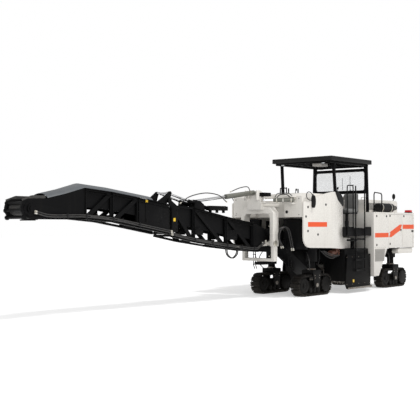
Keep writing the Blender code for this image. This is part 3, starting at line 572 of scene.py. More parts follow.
# %% [markdown]
# ## Rounding the machine's own solids
# The frame's solids have knife edges and triangles. Each one is copied, its doubled
# corners are merged, its flat faces are joined up again, and every sharp edge gets a
# small bevel. The copy then stands for the solid.

# %% Dress a solid
def dressed(node, look, edge=0.004, segments=2, name=None):
    work = bmesh.new()
    work.from_mesh(frame["nodes"][node].data)
    bmesh.ops.remove_doubles(work, verts=work.verts, dist=2e-5)
    bmesh.ops.dissolve_limit(work, angle_limit=radians(0.6), verts=work.verts, edges=work.edges)
    softened(work, edge, 36, segments)
    kit = Kit()
    kit.work.free()
    kit.work = work
    piece = kit.done(name or node + "_shell", look, frame["nodes"][node]["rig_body"])
    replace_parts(piece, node)
    return piece


EDGES = {
    white: (("front_body", 0.010), ("side_panel_left", 0.006), ("side_panel_right", 0.006), ("rear_body", 0.007),
            ("front_door_left", 0.006), ("front_door_right", 0.006), ("rear_door_left", 0.006),
            ("rear_door_right", 0.006), ("engine_hood", 0.016), ("belly_tank", 0.012), ("slew_arch", 0.007)),
    black: (("main_frame", 0.005), ("drum_housing", 0.004), ("side_plate_left", 0.004), ("side_plate_right", 0.004),
            ("scraper_door", 0.004), ("pickup_conveyor", 0.008), ("platform_deck", 0.005),
            ("ladder_left", 0.002), ("ladder_right", 0.002), ("guard_rail_left", 0.002),
            ("guard_rail_right", 0.002), ("canopy_post_left", 0.008), ("canopy_post_right", 0.008),
            ("canopy_rear_frame", 0.005), ("radiator_grille", 0.004), ("conveyor_rear_frame", 0.004),
            ("conveyor_front_frame", 0.004), ("fold_cylinders", 0.003),
            ("leg_front_left", 0.004), ("leg_front_right", 0.004), ("leg_rear_left", 0.004),
            ("leg_rear_right", 0.004)),
    olive: (("lift_cylinder", 0.003), ("slewing_cylinder", 0.003)),
    chrome: (("lift_rod", 0.002), ("fold_rods", 0.002), ("slewing_rod", 0.002)),
    engine_iron: (("engine_block", 0.01),),
    belt_rubber: (("rear_belt", 0.002), ("front_belt", 0.002)),
    grey: (("belt_cover", 0.001),),
    window: (("canopy_window", 0.001),),
}
for look, rows in EDGES.items():
    for node, edge in rows:
        dressed(node, look, edge)
print("solids dressed:", len(MADE))
# %% [markdown]
# ## Track shoes
# Each track is a chain of cast shoes with a bolted pad, running round an idler and a
# sprocket. One shoe is built flat, then stamped along the path round the two wheels,
# turned to face outward at each place.

# %% The path of a track
SHOES = 26
PAD = 0.040
SHOE_PLATE = 0.014


def path_place(distance, half, radius):
    """A point and an outward angle on a loop of two straights and two half circles."""
    straight, bend = 2 * half, pi * radius
    distance %= 2 * (straight + bend)
    if distance < straight:
        return -half + distance, -radius, -pi / 2
    distance -= straight
    if distance < bend:
        turn = distance / radius - pi / 2
        return half + radius * cos(turn), radius * sin(turn), turn
    distance -= bend
    if distance < straight:
        return half - distance, radius, pi / 2
    turn = (distance - straight) / radius + pi / 2
    return -half + radius * cos(turn), radius * sin(turn), turn


# %% One shoe
def shoe(width):
    """Lies in X and Y with its pad toward +Z: plate, ribbed pad, four bolts and two links."""
    half = width / 2
    kit = Kit()
    kit.add(block((-half, -0.069, 0), (half, 0.069, SHOE_PLATE), 0.003))
    for y in (-0.040, 0.004, 0.044):
        kit.add(block((-half + 0.004, y - 0.013, SHOE_PLATE - 0.002), (half - 0.004, y + 0.013, SHOE_PLATE + PAD), 0.006))
    for x in (-0.052, 0.032):
        kit.add(block((x, -0.080, -0.034), (x + 0.020, 0.072, 0.002), 0.004))
    kit.add(bolt(0.009), *[(x, y, -0.004) for x in (-0.11, -0.075, 0.075, 0.11) for y in (-0.03,)])
    return kit.work


# %% Wheels of a track
def sprocket(radius, teeth=12):
    """A toothed wheel, its axle along Z."""
    kit = Kit()
    outline = []
    for tooth in range(teeth):
        for step, out in ((0.0, 1.0), (0.22, 1.0), (0.42, 0.86), (0.80, 0.86)):
            turn = 2 * pi * (tooth + step) / teeth
            outline.append((radius * out * cos(turn), radius * out * sin(turn)))
    kit.add(plate(outline, 0.03, 0.003), (0, 0, -0.015))
    return kit.work


def hub(radius, reach):
    """The turned face of a wheel with its ring of bolts."""
    kit = Kit()
    kit.add(turned([(0, reach), (radius * 0.26, reach), (radius * 0.30, reach - 0.008), (radius * 0.30, reach - 0.03),
                    (radius * 0.66, reach - 0.038), (radius * 0.70, reach - 0.018), (radius * 0.97, reach - 0.020),
                    (radius * 1.0, reach - 0.028), (radius, 0), (0, 0)], 36))
    for i in range(8):
        turn = 2 * pi * i / 8
        kit.add(bolt(0.010), (radius * 0.48 * cos(turn), radius * 0.48 * sin(turn), reach - 0.036))
    return kit.work


# %% Dress the four tracks
def dress_track(side):
    node = "track_" + side
    body = frame["nodes"][node]["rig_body"]
    low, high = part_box(node)
    middle = (low + high) / 2
    outer = (high.z - low.z) / 2
    half = (high.y - low.y) / 2 - outer
    inner = outer - PAD - SHOE_PLATE
    loop = 4 * half + 2 * pi * inner
    kit = Kit()
    places = []
    for i in range(SHOES):
        y, z, turn = path_place(i * loop / SHOES + 0.04, half, inner)
        places.append(Matrix.Translation(middle + Vector((0, y, z))) @ Matrix.Rotation(turn - pi / 2, 4, "X"))
    kit.add(shoe(high.x - low.x), *places)
    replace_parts(kit.done(side + "_shoes", track_iron, body), node)
    wheels = Kit()
    radius = inner - 0.030
    for end in (-1, 1):
        centre = middle + Vector((0, end * half, 0))
        for way in (-1, 1):
            face = centre + Vector((way * 0.118, 0, 0))
            wheels.add(hub(radius * 0.84, 0.028), toward(face, (way, 0, 0)))
        if end == 1:
            wheels.add(sprocket(radius + 0.022), toward(centre + Vector((0.135, 0, 0)), (1, 0, 0)),
                       toward(centre - Vector((0.135, 0, 0)), (-1, 0, 0)))
    for step in (-0.19, 0, 0.19):
        for way in (-1, 1):
            place = middle + Vector((way * 0.108, step, 0.075 - inner + 0.030))
            wheels.add(turned([(0, 0.018), (0.030, 0.018), (0.034, 0.010), (0.068, 0.010), (0.072, 0), (0, 0)], 20),
                       toward(place, (way, 0, 0)))
    wheels.done(side + "_wheels", black, body)
    details = Kit()
    for way in (-1, 1):
        face = middle + Vector((way * (0.150 + 0.045), 0, 0))
        details.add(turned([(0, 0.016), (0.05, 0.016), (0.056, 0.010), (0.056, 0), (0, 0)], 24), toward(face, (way, 0, 0)))
        for y, z in ((-0.10, 0.20), (0.10, 0.20), (-0.12, 0.27), (0.12, 0.27)):
            details.add(bolt(0.012), toward(face + Vector((0, y, z)), (way, 0, 0)))
    details.add(turned([(0.108, 0), (0.124, 0), (0.124, 0.03), (0.116, 0.036), (0.108, 0.036)], 28),
                middle + Vector((0, 0, 0.565 - 0.14)))
    details.done(side + "_fittings", tool_iron, body)


for side in ("front_left", "front_right", "rear_left", "rear_right"):
    dress_track(side)
print("track pieces made:", len(MADE))

# %% [markdown]
# ## Milling drum
# The drum carries about a hundred and fifty cutting tools. They sit in holders welded
# along spirals that run in from both ends, so that the milled road is carried to the
# middle and thrown on to the pick-up conveyor.

# %% Cutting tools
def cutter():
    """A holder and its carbide-tipped tool, leaning forward round the drum."""
    kit = Kit()
    kit.add(turned([(0, 0), (0.036, 0), (0.030, 0.030), (0.022, 0.034), (0, 0.034)], 8))
    kit.add(turned([(0.014, 0.032), (0.019, 0.036), (0.017, 0.048), (0.010, 0.060), (0.004, 0.074), (0, 0.075)], 8))
    return kit.work


def dress_drum():
    low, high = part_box("milling_drum")
    axle = (low + high) / 2
    radius, half = 0.42, (high.x - low.x) / 2
    dressed("milling_drum", tool_iron, 0.004)
    rows, turns = 74, 2.5
    places = []
    for way in (-1, 1):
        for row in range(rows):
            share = (row + 0.5) / rows
            turn = way * 2 * pi * turns * share + (pi if row % 2 else 0)
            x = axle.x + way * (half - 0.07) * (1 - share)
            out = Vector((0, cos(turn), sin(turn)))
            lean = Vector((way * 0.10, -sin(turn) * 0.55, cos(turn) * 0.55)) + out
            places.append(toward(Vector((x, axle.y, axle.z)) + out * (radius - 0.006), lean))
    made("drum_cutters", cutter(), tool_iron, "drum", *places)
    ring = Kit()
    for way in (-1, 1):
        for i in range(10):
            turn = 2 * pi * i / 10
            place = axle + Vector((way * half, 0.30 * cos(turn), 0.30 * sin(turn)))
            ring.add(bolt(0.014), toward(place - Vector((way * 0.012, 0, 0)), (way, 0, 0)))
    ring.done("drum_end_bolts", tool_iron, "drum")


dress_drum()

# %% [markdown]
# ## Stripes, latches and bolts on the body
# The white sides carry plain orange bands. Each band is a thin painted plate a few
# tenths of a millimetre proud of the panel, cut to the slope of the panel's own edges.
# Latches and bolts sit where a hand or a spanner would need them.

# %% Side bands
SIDE = {1: Matrix.Identity(4), -1: Matrix.Scale(-1, 4, (1, 0, 0))}


def on_side(outline, x, thick, edge=0.0):
    """An outline of Y and Z laid on a side face, growing outward from x."""
    shape = plate([(y, z) for y, z in outline], thick, edge)
    shape.transform(Matrix(((0, 0, 1, x), (1, 0, 0, 0), (0, 1, 0, 0), (0, 0, 0, 1))))
    return shape


FRONT_BAND = [(1.150, 1.936), (2.072, 1.936), (2.072, 2.066), (1.150, 2.066)]
REAR_BANDS = ([(4.70, 1.608), (5.525, 1.608), (5.525, 1.745), (4.70, 1.745)],
              [(6.44, 1.862), (7.19, 1.862), (7.19, 2.000), (6.44, 2.000)])
DOOR_BAND = [(5.56, 1.608), (5.70, 1.608), (6.30, 1.862), (6.395, 1.862), (6.395, 2.000), (6.24, 2.000),
             (5.64, 1.745), (5.56, 1.745)]
for sign, side in (("left", 1), ("right", -1)):
    skin = 0.0012
    fixed = Kit().add(on_side(FRONT_BAND, BODY_SIDE + 0.0004, skin), SIDE[side])
    fixed.add(on_side(REAR_BANDS[0], BODY_SIDE + 0.0004, skin), SIDE[side])
    fixed.done("side_bands_" + sign, orange, "machine")
    made("front_door_band_" + sign, on_side(DOOR_BAND, BODY_SIDE + 0.0004, skin), orange,
         "front_door_" + sign, SIDE[side])
    made("rear_door_band_" + sign, on_side(REAR_BANDS[1], BODY_SIDE + 0.0004, skin), orange,
         "rear_door_" + sign, SIDE[side])
print("bands made:", [name for name in MADE if "band" in name])

# %% [markdown]
# Latches ride on their doors, and bolts hold the panels to the frame.

# %% Latches, panel bolts and grilles
OUT = toward((0, 0, 0), (1, 0, 0))


def at_side(y, z, x=BODY_SIDE):
    return Matrix.Translation((x, y, z)) @ OUT


PANEL_LATCHES = [(1.152, 2.469), (1.057, 2.213), (1.149, 1.824), (1.626, 1.726), (2.02, 2.55)]
REAR_LATCHES = [(4.80, 2.26), (4.80, 1.38), (5.40, 2.26)]
for sign, side in (("left", 1), ("right", -1)):
    kit = Kit()
    for y, z in PANEL_LATCHES + REAR_LATCHES:
        kit.add(latch(), SIDE[side] @ at_side(y, z))
    kit.done("panel_latches_" + sign, moulded, "machine")
    kit = Kit()
    for y, z in ((5.62, 2.27), (5.62, 1.40), (6.32, 1.83)):
        kit.add(latch(), SIDE[side] @ at_side(y, z))
    kit.done("front_door_latches_" + sign, moulded, "front_door_" + sign)
    kit = Kit()
    for y, z in ((7.06, 1.79), (7.13, 1.79), (6.52, 2.27)):
        kit.add(latch(), SIDE[side] @ at_side(y, z))
    kit.done("rear_door_latches_" + sign, moulded, "rear_door_" + sign)
    kit = Kit()
    for y in [4.70 + 0.12 * i for i in range(6)]:
        kit.add(bolt(0.009), SIDE[side] @ at_side(y, 1.30))
        kit.add(bolt(0.009), SIDE[side] @ at_side(y, 2.345))
    for z in (1.42, 1.60, 1.80, 2.0, 2.2):
        kit.add(bolt(0.009), SIDE[side] @ at_side(7.185, z))
    kit.done("panel_bolts_" + sign, zinc, "machine")
    # the lower grille: a dark louvred plate with a frame
    kit = Kit()
    frame_line = [(4.69, 1.255), (5.29, 1.255), (5.24, 0.88), (4.69, 0.88)]
    kit.add(on_side(frame_line, BODY_SIDE + 0.0005, 0.010, 0.003), SIDE[side])
    for i in range(7):
        z = 0.925 + i * 0.046
        kit.add(block((BODY_SIDE + 0.006, 4.72, z), (BODY_SIDE + 0.022, 5.20, z + 0.018), 0.003), SIDE[side])
    kit.done("lower_grille_" + sign, mesh_grey, "machine")
print("latches, bolts and grilles made")

# %% [markdown]
# ## Lamps
# Each lamp is a dark housing with a lens of its own. Red lamps stand at the rear
# corners, and clear work lamps hang under the canopy and over the conveyor.

# %% Lamps
housing, red_glass, white_glass = Kit(), Kit(), Kit()
for side in (1, -1):
    x = side * 1.10
    housing.add(block((x - 0.11, 7.02, 2.3805), (x + 0.11, 7.20, 2.400), 0.006))
    red_glass.add(block((x - 0.10, 7.04, 2.398), (x + 0.10, 7.195, 2.475), 0.020))
housing.done("tail_lamp_housings", moulded, "machine")
red_glass.done("tail_lamp_lenses", lamp_red, "machine")
housing = Kit()
for x, y in ((-0.72, 2.72), (0.72, 2.72), (-0.72, 4.75), (0.72, 4.75)):
    way = -1 if y < 3.5 else 1
    housing.add(block((x - 0.06, y - 0.03, 3.755), (x + 0.06, y + 0.05, 3.835), 0.012))
    white_glass.add(block((x - 0.05, y + (-0.038 if way < 0 else 0.046), 3.765),
                          (x + 0.05, y + (-0.028 if way < 0 else 0.056), 3.825), 0.004))
housing.done("work_lamp_housings", moulded, "machine")
white_glass.done("work_lamp_lenses", lamp_clear, "machine")
print("lamps made")

# %% [markdown]
# ## The conveyor's flanges, rollers and plates
# A truss is more than its side plates. Flanges run along the chords, ribs stand on the
# posts, gussets close the corners, and idler rollers fill the gap between the belt
# runs. All of it follows the frame's own stations.

# %% Stations of the two trusses
REAR = [(0.455, 1.26, 1.90), (-0.035, 1.29, 2.04), (-1.125, 1.40, 2.20), (-2.325, 1.56, 2.41), (-3.105, 1.70, 2.46)]
FRONT = [(-3.185, 1.76, 2.47), (-4.165, 1.92, 2.60), (-4.945, 2.04, 2.70), (-5.695, 2.10, 2.76),
         (-6.195, 2.10, 2.62), (-6.645, 2.10, 2.52)]
TRUSS = corner("conveyor_rear_frame", HIGH).x


def strip(start, end, x, width, depth, edge=0.002):
    """A flat bar from one Y, Z point to the next, centred on x: width across, depth in the plane."""
    start, end = Vector((x, *start)), Vector((x, *end))
    along = (end - start).normalized()
    across = Vector((1, 0, 0))
    shape = block((-width / 2, -depth / 2, 0), (width / 2, depth / 2, (end - start).length), edge)
    basis = Matrix((across, along.cross(across), along)).transposed().to_4x4()
    shape.transform(Matrix.Translation(start) @ basis)
    return shape


def level(stations, y, low):
    """Height of a chord at a station Y: its lower line or its upper line."""
    for a, b in zip(stations, stations[1:]):
        if b[0] <= y <= a[0]:
            t = (a[0] - y) / (a[0] - b[0])
            i = 1 if low else 2
            return a[i] + t * (b[i] - a[i])
    return stations[-1][1 if low else 2]


def girder(name, stations, body, top_bays, ribs):
    """Flanges along both chords and ribs on the posts, on both side plates."""
    kit = Kit()
    for side in (1, -1):
        out = side * (TRUSS + 0.018)
        for i in range(len(stations) - 1):
            (y0, b0, t0), (y1, b1, t1) = stations[i], stations[i + 1]
            kit.add(strip((y0, b0 + 0.006), (y1, b1 + 0.006), out, 0.042, 0.010))
            if i in top_bays:
                kit.add(strip((y0, t0 - 0.006), (y1, t1 - 0.006), out, 0.042, 0.010))
                kit.add(strip((y0, t0 - 0.078), (y1, t1 - 0.078), out - side * 0.008, 0.024, 0.008))
        for y in ribs:
            low, high = level(stations, y, True), level(stations, y, False)
            kit.add(strip((y, low + 0.012), (y, high - 0.012), out - side * 0.006, 0.026, 0.010))
            for z in (low + 0.045, high - 0.045):
                kit.add(bolt(0.010), toward((side * (TRUSS + 0.001), y + 0.030, z), (side, 0, 0)))
                kit.add(bolt(0.010), toward((side * (TRUSS + 0.001), y - 0.030, z), (side, 0, 0)))
    kit.done(name, black, body)


girder("rear_truss_flanges", REAR, "rear_conveyor", (1, 2), (-0.035, -1.125, -2.325))
girder("front_truss_flanges", FRONT, "front_conveyor", (0, 1, 2), (-4.165, -4.945, -5.695))

# %% [markdown]
# Idlers carry the belt: each is a tube with dished ends on a thin axle. Thicker rollers
# stand under the upper run and thinner ones under the return run.

# %% Idler rollers
def roller(half, radius):
    """A roller across X, with its shaft."""
    shape = turned([(0, -half - 0.012), (0.009, -half - 0.012), (0.009, -half), (radius * 0.5, -half),
                    (radius, -half + 0.006), (radius, half - 0.006), (radius * 0.5, half), (0.009, half),
                    (0.009, half + 0.012), (0, half + 0.012)], 16)
    return shape


def idlers(name, stations, spots, body):
    kit = Kit()
    for y in spots:
        upper = level(stations, y, False) - 0.125 - 0.014 - 0.036
        lower = level(stations, y, True) + 0.10 + 0.014 + 0.026
        kit.add(roller(0.225, 0.032), toward((0, y, upper), (1, 0, 0)))
        if upper - lower > 0.10:
            kit.add(roller(0.225, 0.022), toward((0, y, lower), (1, 0, 0)))
    kit.done(name, track_iron, body)


idlers("rear_idlers", REAR, (-0.35, -0.75, -1.125, -1.5, -1.9, -2.325, -2.75), "rear_conveyor")
idlers("front_idlers", FRONT, (-3.65, -4.165, -4.55, -4.945, -5.3), "front_conveyor")

# %% [markdown]
# Plates close some bays, and brackets carry the fold. Each plate has rolled corners
# and a row of bolts.

# %% Plates and brackets
def bolted_plate(outline, x, thick, rows, look, name, body, side=1):
    kit = Kit().add(on_side(outline, x, thick, 0.003), SIDE[side])
    for y, z in rows:
        kit.add(bolt(0.011), SIDE[side] @ at_side(y, z, x + thick))
    return kit.done(name, look, body)


for sign, side in (("left", 1), ("right", -1)):
    fold = [(-3.955, 2.06), (-3.42, 2.045), (-3.42, 2.40), (-3.50, 2.50), (-3.955, 2.55)]
    bolted_plate(fold, TRUSS + 0.0005, 0.010, [(-3.92, 2.10), (-3.92, 2.5), (-3.46, 2.08), (-3.46, 2.42)],
                 black, "fold_plate_" + sign, "front_conveyor", side)
    knee = [(-3.10, 1.80), (-2.90, 1.82), (-2.90, 2.38), (-3.00, 2.43), (-3.10, 2.41)]
    bolted_plate(knee, TRUSS + 0.0005, 0.012, [(-3.06, 1.86), (-2.94, 1.88), (-3.06, 2.36), (-2.94, 2.34)],
                 black, "fold_knee_" + sign, "rear_conveyor", side)
    low = [(-2.288, 1.745), (-1.999, 1.738), (-1.999, 1.905), (-2.288, 1.908)]
    bolted_plate(low, TRUSS + 0.0005, 0.008, [(-2.26, 1.77), (-2.03, 1.77), (-2.03, 1.88), (-2.26, 1.88)],
                 black, "brace_plate_" + sign, "rear_conveyor", side)
    long = [(-1.167, 1.606), (-0.69, 1.60), (-0.69, 1.80), (-0.80, 1.852), (-1.167, 1.852)]
    bolted_plate(long, TRUSS + 0.0005, 0.008, [(-1.13, 1.64), (-0.73, 1.63), (-1.13, 1.82), (-0.85, 1.82)],
                 black, "post_plate_" + sign, "rear_conveyor", side)
    blank = [(0.361, 1.42), (0.581, 1.42), (0.581, 1.525), (0.361, 1.525)]
    bolted_plate(blank, TRUSS + 0.0005, 0.004, [(0.375, 1.43), (0.567, 1.43), (0.375, 1.515), (0.567, 1.515)],
                 white, "blank_plate_" + sign, "rear_conveyor", side)
    made("fold_mark_" + sign, on_side([(-3.95, 2.50), (-3.88, 2.50), (-3.88, 2.56), (-3.95, 2.56)],
                                      TRUSS + 0.0115, 0.001), yellow, "front_conveyor", SIDE[side])
    made("knee_mark_" + sign, on_side([(-3.05, 2.07), (-2.98, 2.07), (-2.98, 2.15), (-3.05, 2.15)],
                                      TRUSS + 0.0130, 0.001), yellow, "rear_conveyor", SIDE[side])
kit = Kit()
kit.add(block((TRUSS - 0.11, -1.80, 2.35), (TRUSS + 0.05, -1.10, 2.455), 0.016))
kit.add(block((TRUSS - 0.09, -1.76, 2.452), (TRUSS + 0.03, -1.14, 2.466), 0.006))
for y in (-1.70, -1.45, -1.20):
    kit.add(block((TRUSS - 0.06, y - 0.02, 2.29), (TRUSS + 0.01, y + 0.02, 2.36), 0.004))
kit.done("conveyor_valve_box", black, "rear_conveyor")
print("conveyor plates made")

# %% [markdown]
# Skirt sheets line the trough inside the side plates, from the chord down past the
# upper belt run, so the load can't spill through the bays.

# %% Trough skirts
def skirts(name, stations, deep, body):
    kit = Kit()
    for side in (1, -1):
        x = side * 0.2465
        for (y0, b0, t0), (y1, b1, t1) in zip(stations, stations[1:]):
            low0, low1 = t0 - (t0 - b0) * deep, t1 - (t1 - b1) * deep
            sheet = plate([(y1, low1), (y0, low0), (y0, t0 - 0.02), (y1, t1 - 0.02)], 0.003, 0)
            sheet.transform(Matrix(((0, 0, 1, x - 0.0015), (1, 0, 0, 0), (0, 1, 0, 0), (0, 0, 0, 1))))
            kit.add(sheet)
    kit.done(name, black, body)


skirts("rear_trough_skirts", REAR, 0.58, "rear_conveyor")
skirts("front_trough_skirts", FRONT[:5], 0.60, "front_conveyor")

# %% [markdown]
# ## The conveyor head
# The head drum is turned by a motor in a bolted hub. Scraper blades clean the belt,
# and soft side skirts keep the load on it.

# %% Head hub, scraper and skirts
HEAD = Vector((0, -7.085, 2.31))
kit = Kit()
for side in (1, -1):
    face = side * (TRUSS + 0.001)
    hub = turned([(0, 0), (0.150, 0), (0.150, 0.012), (0.120, 0.018), (0.085, 0.020), (0.085, 0.055), (0.060, 0.062),
                  (0.060, 0.10), (0, 0.10)], 28)
    kit.add(hub, toward((face, HEAD.y, HEAD.z), (side, 0, 0)))
    for i in range(8):
        angle = radians(45 * i + 20)
        kit.add(bolt(0.010), toward((face + side * 0.012, HEAD.y + 0.132 * cos(angle), HEAD.z + 0.132 * sin(angle)),
                                    (side, 0, 0)))
kit.done("head_hubs", black, "front_conveyor")
kit = Kit()
kit.add(roller(0.238, 0.135), toward(HEAD, (1, 0, 0)))
kit.done("head_drum_skin", belt_rubber, "front_conveyor")
kit = Kit()
for side in (1, -1):
    for (y0, z0), (y1, z1) in (((-6.70, 2.54), (-7.02, 2.54)), ((-7.02, 2.54), (-7.25, 2.46))):
        kit.add(strip((y0, z0), (y1, z1), side * (TRUSS - 0.020), 0.016, 0.07, 0.003))
kit.done("head_skirts", belt_rubber, "front_conveyor")
kit = Kit()
kit.add(block((-0.24, -6.95, 2.07), (0.24, -6.90, 2.095), 0.004))
kit.add(block((-0.26, -6.90, 2.085), (0.26, -6.86, 2.125), 0.004))
kit.done("belt_scraper", moulded, "front_conveyor")

# %% [markdown]
# Hoses run in a pair along the lower chord of each conveyor part, held by clamps at
# every post.

# %% Conveyor hoses
def chord_line(stations, rise, out, skip=0.0):
    return [(out, y, low + rise) for y, low, _ in stations]


for i, (rise, out) in enumerate(((0.050, TRUSS + 0.052), (0.090, TRUSS + 0.050))):
    route = [(out, 0.42, 1.45 + rise), (out, 0.20, 1.34 + rise)] + chord_line(REAR[1:], rise, out)
    hose(f"rear_chord_hose_{i}", route, 0.014, "rear_conveyor")
    route = chord_line(FRONT, rise, out) + [(out, -6.95, 2.16 + rise)]
    hose(f"front_chord_hose_{i}", route, 0.014, "front_conveyor")
clamps = {"rear_conveyor": [(y, low) for y, low, _ in REAR[1:4]] + [(-0.55, 1.343), (-1.7, 1.477)],
          "front_conveyor": [(y, low) for y, low, _ in FRONT[1:5]]}
for body, spots in clamps.items():
    kit = Kit()
    for y, low in spots:
        kit.add(block((TRUSS + 0.030, y - 0.02, low + 0.02), (TRUSS + 0.074, y + 0.02, low + 0.118), 0.006))
    kit.done(body + "_clamps", moulded, body)
hose("fold_supply_hose", [(0.235, -1.07, 2.60), (0.245, -1.35, 2.74), (0.245, -1.85, 2.78), (0.245, -2.40, 2.68),
                          (0.245, -2.72, 2.52)], 0.013, "rear_conveyor")
hose("lift_supply_hose", [(0.10, 0.10, 2.90), (0.17, -0.10, 3.00), (0.20, -0.45, 2.96), (0.17, -0.75, 2.86)],
     0.012, "lift_barrel")
for i, x in enumerate((0.18, 0.225)):
    hose(f"hanging_hose_{i}", [(x, -1.02, 1.42), (x + 0.02, -0.98, 1.22), (x + 0.03, -0.80, 1.13),
                               (x + 0.02, -0.62, 1.22), (x, -0.56, 1.37)], 0.015, "rear_conveyor")
print("conveyor hoses made:", len([n for n in MADE if "hose" in n]))

# %% [markdown]
# ## Seats
# Each seat is a foam cushion and a back rest in grained vinyl over a moulded pan, on a
# turned post. A cushion is rounded, crowned in the middle and drawn in along its sides,
# with sewn channels pressed into its face.

# %% Cushions
def cushion(half, radius, crown, tuck, channels):
    """A stuffed pad centred on the origin, its show face up; channels are seams across it."""
    work = bmesh.new()
    bmesh.ops.create_cube(work, size=2)
    bmesh.ops.subdivide_edges(work, edges=work.edges, cuts=17, use_grid_fill=True)
    for vertex in work.verts:
        u, v, w = vertex.co
        point = Vector((u * half[0], v * half[1], w * half[2]))
        core = Vector([max(-(h - radius), min(h - radius, c)) for h, c in zip(half, point)])
        rim = point - core
        if rim.length > 1e-9:
            point = core + rim.normalized() * radius
        point.x *= 1 - tuck * (1 - v * v)
        point.y *= 1 - tuck * (1 - u * u)
        if w > 0:
            swell = crown * (1 - u ** 4) * (1 - v ** 4)
            seam = sum(0.010 * exp(-((v - place) / 0.045) ** 2) for place in channels)
            seam += 0.006 * exp(-((abs(u) - 0.72) / 0.04) ** 2)
            point.z += (swell - seam * (1 - u ** 6)) * w
        vertex.co = point
    bmesh.ops.recalc_face_normals(work, faces=work.faces)
    return work


for sign, side in (("left", 1), ("right", -1)):
    middle = side * 0.66
    pad = made(f"seat_{sign}_cushion", cushion((0.235, 0.245, 0.058), 0.045, 0.020, 0.035, (-0.45, 0.0, 0.45)),
               vinyl, "machine", Matrix.Translation((middle, 4.055, 2.405)))
    back = made(f"seat_{sign}_back", cushion((0.225, 0.285, 0.050), 0.042, 0.022, 0.04, (-0.4, 0.05, 0.5)),
                vinyl, "machine", Matrix.Translation((middle, 4.300, 2.665)) @ Matrix.Rotation(radians(90), 4, "X"))
    kit = Kit()
    kit.add(turned([(0, 1.901), (0.13, 1.901), (0.13, 1.915), (0.075, 1.935), (0.060, 1.96), (0.060, 2.10),
                    (0.048, 2.11), (0.048, 2.31), (0.09, 2.335), (0, 2.335)], 24), (middle, 4.055, 0))
    kit.add(block((middle - 0.225, 3.83, 2.325), (middle + 0.225, 4.30, 2.350), 0.012))
    kit.add(block((middle - 0.215, 4.338, 2.38), (middle + 0.215, 4.368, 2.92), 0.014))
    for x in (middle - 0.19, middle + 0.165):
        kit.add(block((x, 4.24, 2.33), (x + 0.025, 4.36, 2.50), 0.008))
    shell = kit.done(f"seat_{sign}_pan", moulded, "machine")
    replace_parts(shell, f"seat_{sign}")
print("seats made")

# %% [markdown]
# ## Control desks
# A desk is a moulded shell with a raised panel facing the operator, rows of switches, a
# small screen and a control lever in a rubber boot.

# %% Desks
DESK_ROUND, DESK_RADIUS = (3.235, 2.62), 0.33
for sign, side in (("left", 1), ("right", -1)):
    shell = dressed("control_console_" + sign, moulded, 0.022, 3)
    middle = side * 0.65

    def on_desk(angle, across=0.0, lift=0.0):
        """A placement on the desk's rounded top, +Z outward."""
        reach = DESK_RADIUS + lift
        spot = (middle + across, DESK_ROUND[0] + reach * cos(radians(angle)), DESK_ROUND[1] + reach * sin(radians(angle)))
        return toward(spot, (0, cos(radians(angle)), sin(radians(angle))))

    kit = Kit()
    kit.add(block((-0.19, -0.065, 0), (0.19, 0.065, 0.012), 0.008), on_desk(45, 0, -0.018))
    kit.add(block((-0.19, -0.05, 0), (0.19, 0.05, 0.012), 0.008), on_desk(70, 0, -0.014))
    kit.add(turned([(0.045, 0), (0.040, 0.012), (0.028, 0.020), (0.026, 0.032), (0.014, 0.040), (0.009, 0.12),
                    (0.010, 0.125), (0.024, 0.135), (0.026, 0.175), (0.018, 0.195), (0, 0.20)], 20),
            on_desk(68, side * 0.10, -0.004))
    kit.done("desk_panels_" + sign, black, "machine")
    keys, marks = Kit(), Kit()
    for row, angle in enumerate((38, 46, 53)):
        for column in range(6):
            place = on_desk(angle, -0.15 + column * 0.048, -0.006)
            (marks if (row * 6 + column * 5) % 7 == 3 else keys).add(
                rod(0.011, 0.012, 0.003, 12, tip=0.009), place)
    keys.done("desk_switches_" + sign, zinc, "machine")
    marks.done("desk_buttons_" + sign, orange, "machine")
    made("desk_screen_" + sign, block((-0.06, -0.035, 0), (0.06, 0.035, 0.004), 0.003), mirror_glass, "machine",
         on_desk(72, -side * 0.07, -0.002))
print("desks made")

# %% [markdown]
# ## Canopy
# The roof shell has a rolled rim and pressed ribs on top. Under it run two long beams,
# cross bars and a pale service box.

# %% Canopy
dressed("canopy_roof", roof_shell, 0.022, 3)
kit = Kit()
for x in (-0.70, -0.35, 0.0, 0.35, 0.70):
    kit.add(block((x - 0.045, 2.76, 3.964), (x + 0.045, 4.70, 3.982), 0.008))
kit.done("roof_ribs", roof_shell, "machine")
kit = Kit()
for x in (-0.93, 0.93):
    kit.add(block((x - 0.035, 2.66, 3.775), (x + 0.035, 4.80, 3.842), 0.010))
for y in (2.68, 3.20, 3.75, 4.30, 4.74):
    kit.add(block((-0.95, y - 0.025, 3.79), (0.95, y + 0.025, 3.842), 0.008))
kit.done("roof_frame", black, "machine")
kit = Kit()
kit.add(block((0.30, 2.75, 3.70), (0.62, 3.10, 3.79), 0.014))
kit.add(block((0.33, 2.742, 3.715), (0.59, 2.752, 3.775), 0.004))
kit.done("roof_service_box", mesh_grey, "machine")
rim = [(-1.045, 2.62), (1.045, 2.62), (1.045, 4.84), (-1.045, 4.84)]
made("roof_gutter", tube([(x, y, 3.852) for x, y in rim], 0.016, smooth=False, closed=True), roof_shell, "machine")
kit = Kit()
kit.add(tube([(-0.885, 4.711, 3.045), (0.885, 4.711, 3.045), (0.885, 4.711, 3.635), (-0.885, 4.711, 3.635)], 0.013,
             smooth=False, closed=True))
kit.add(tube([(-0.885, 4.727, 3.045), (0.885, 4.727, 3.045), (0.885, 4.727, 3.635), (-0.885, 4.727, 3.635)], 0.013,
             smooth=False, closed=True))
kit.done("window_gasket", hose_rubber, "machine")
kit = Kit()
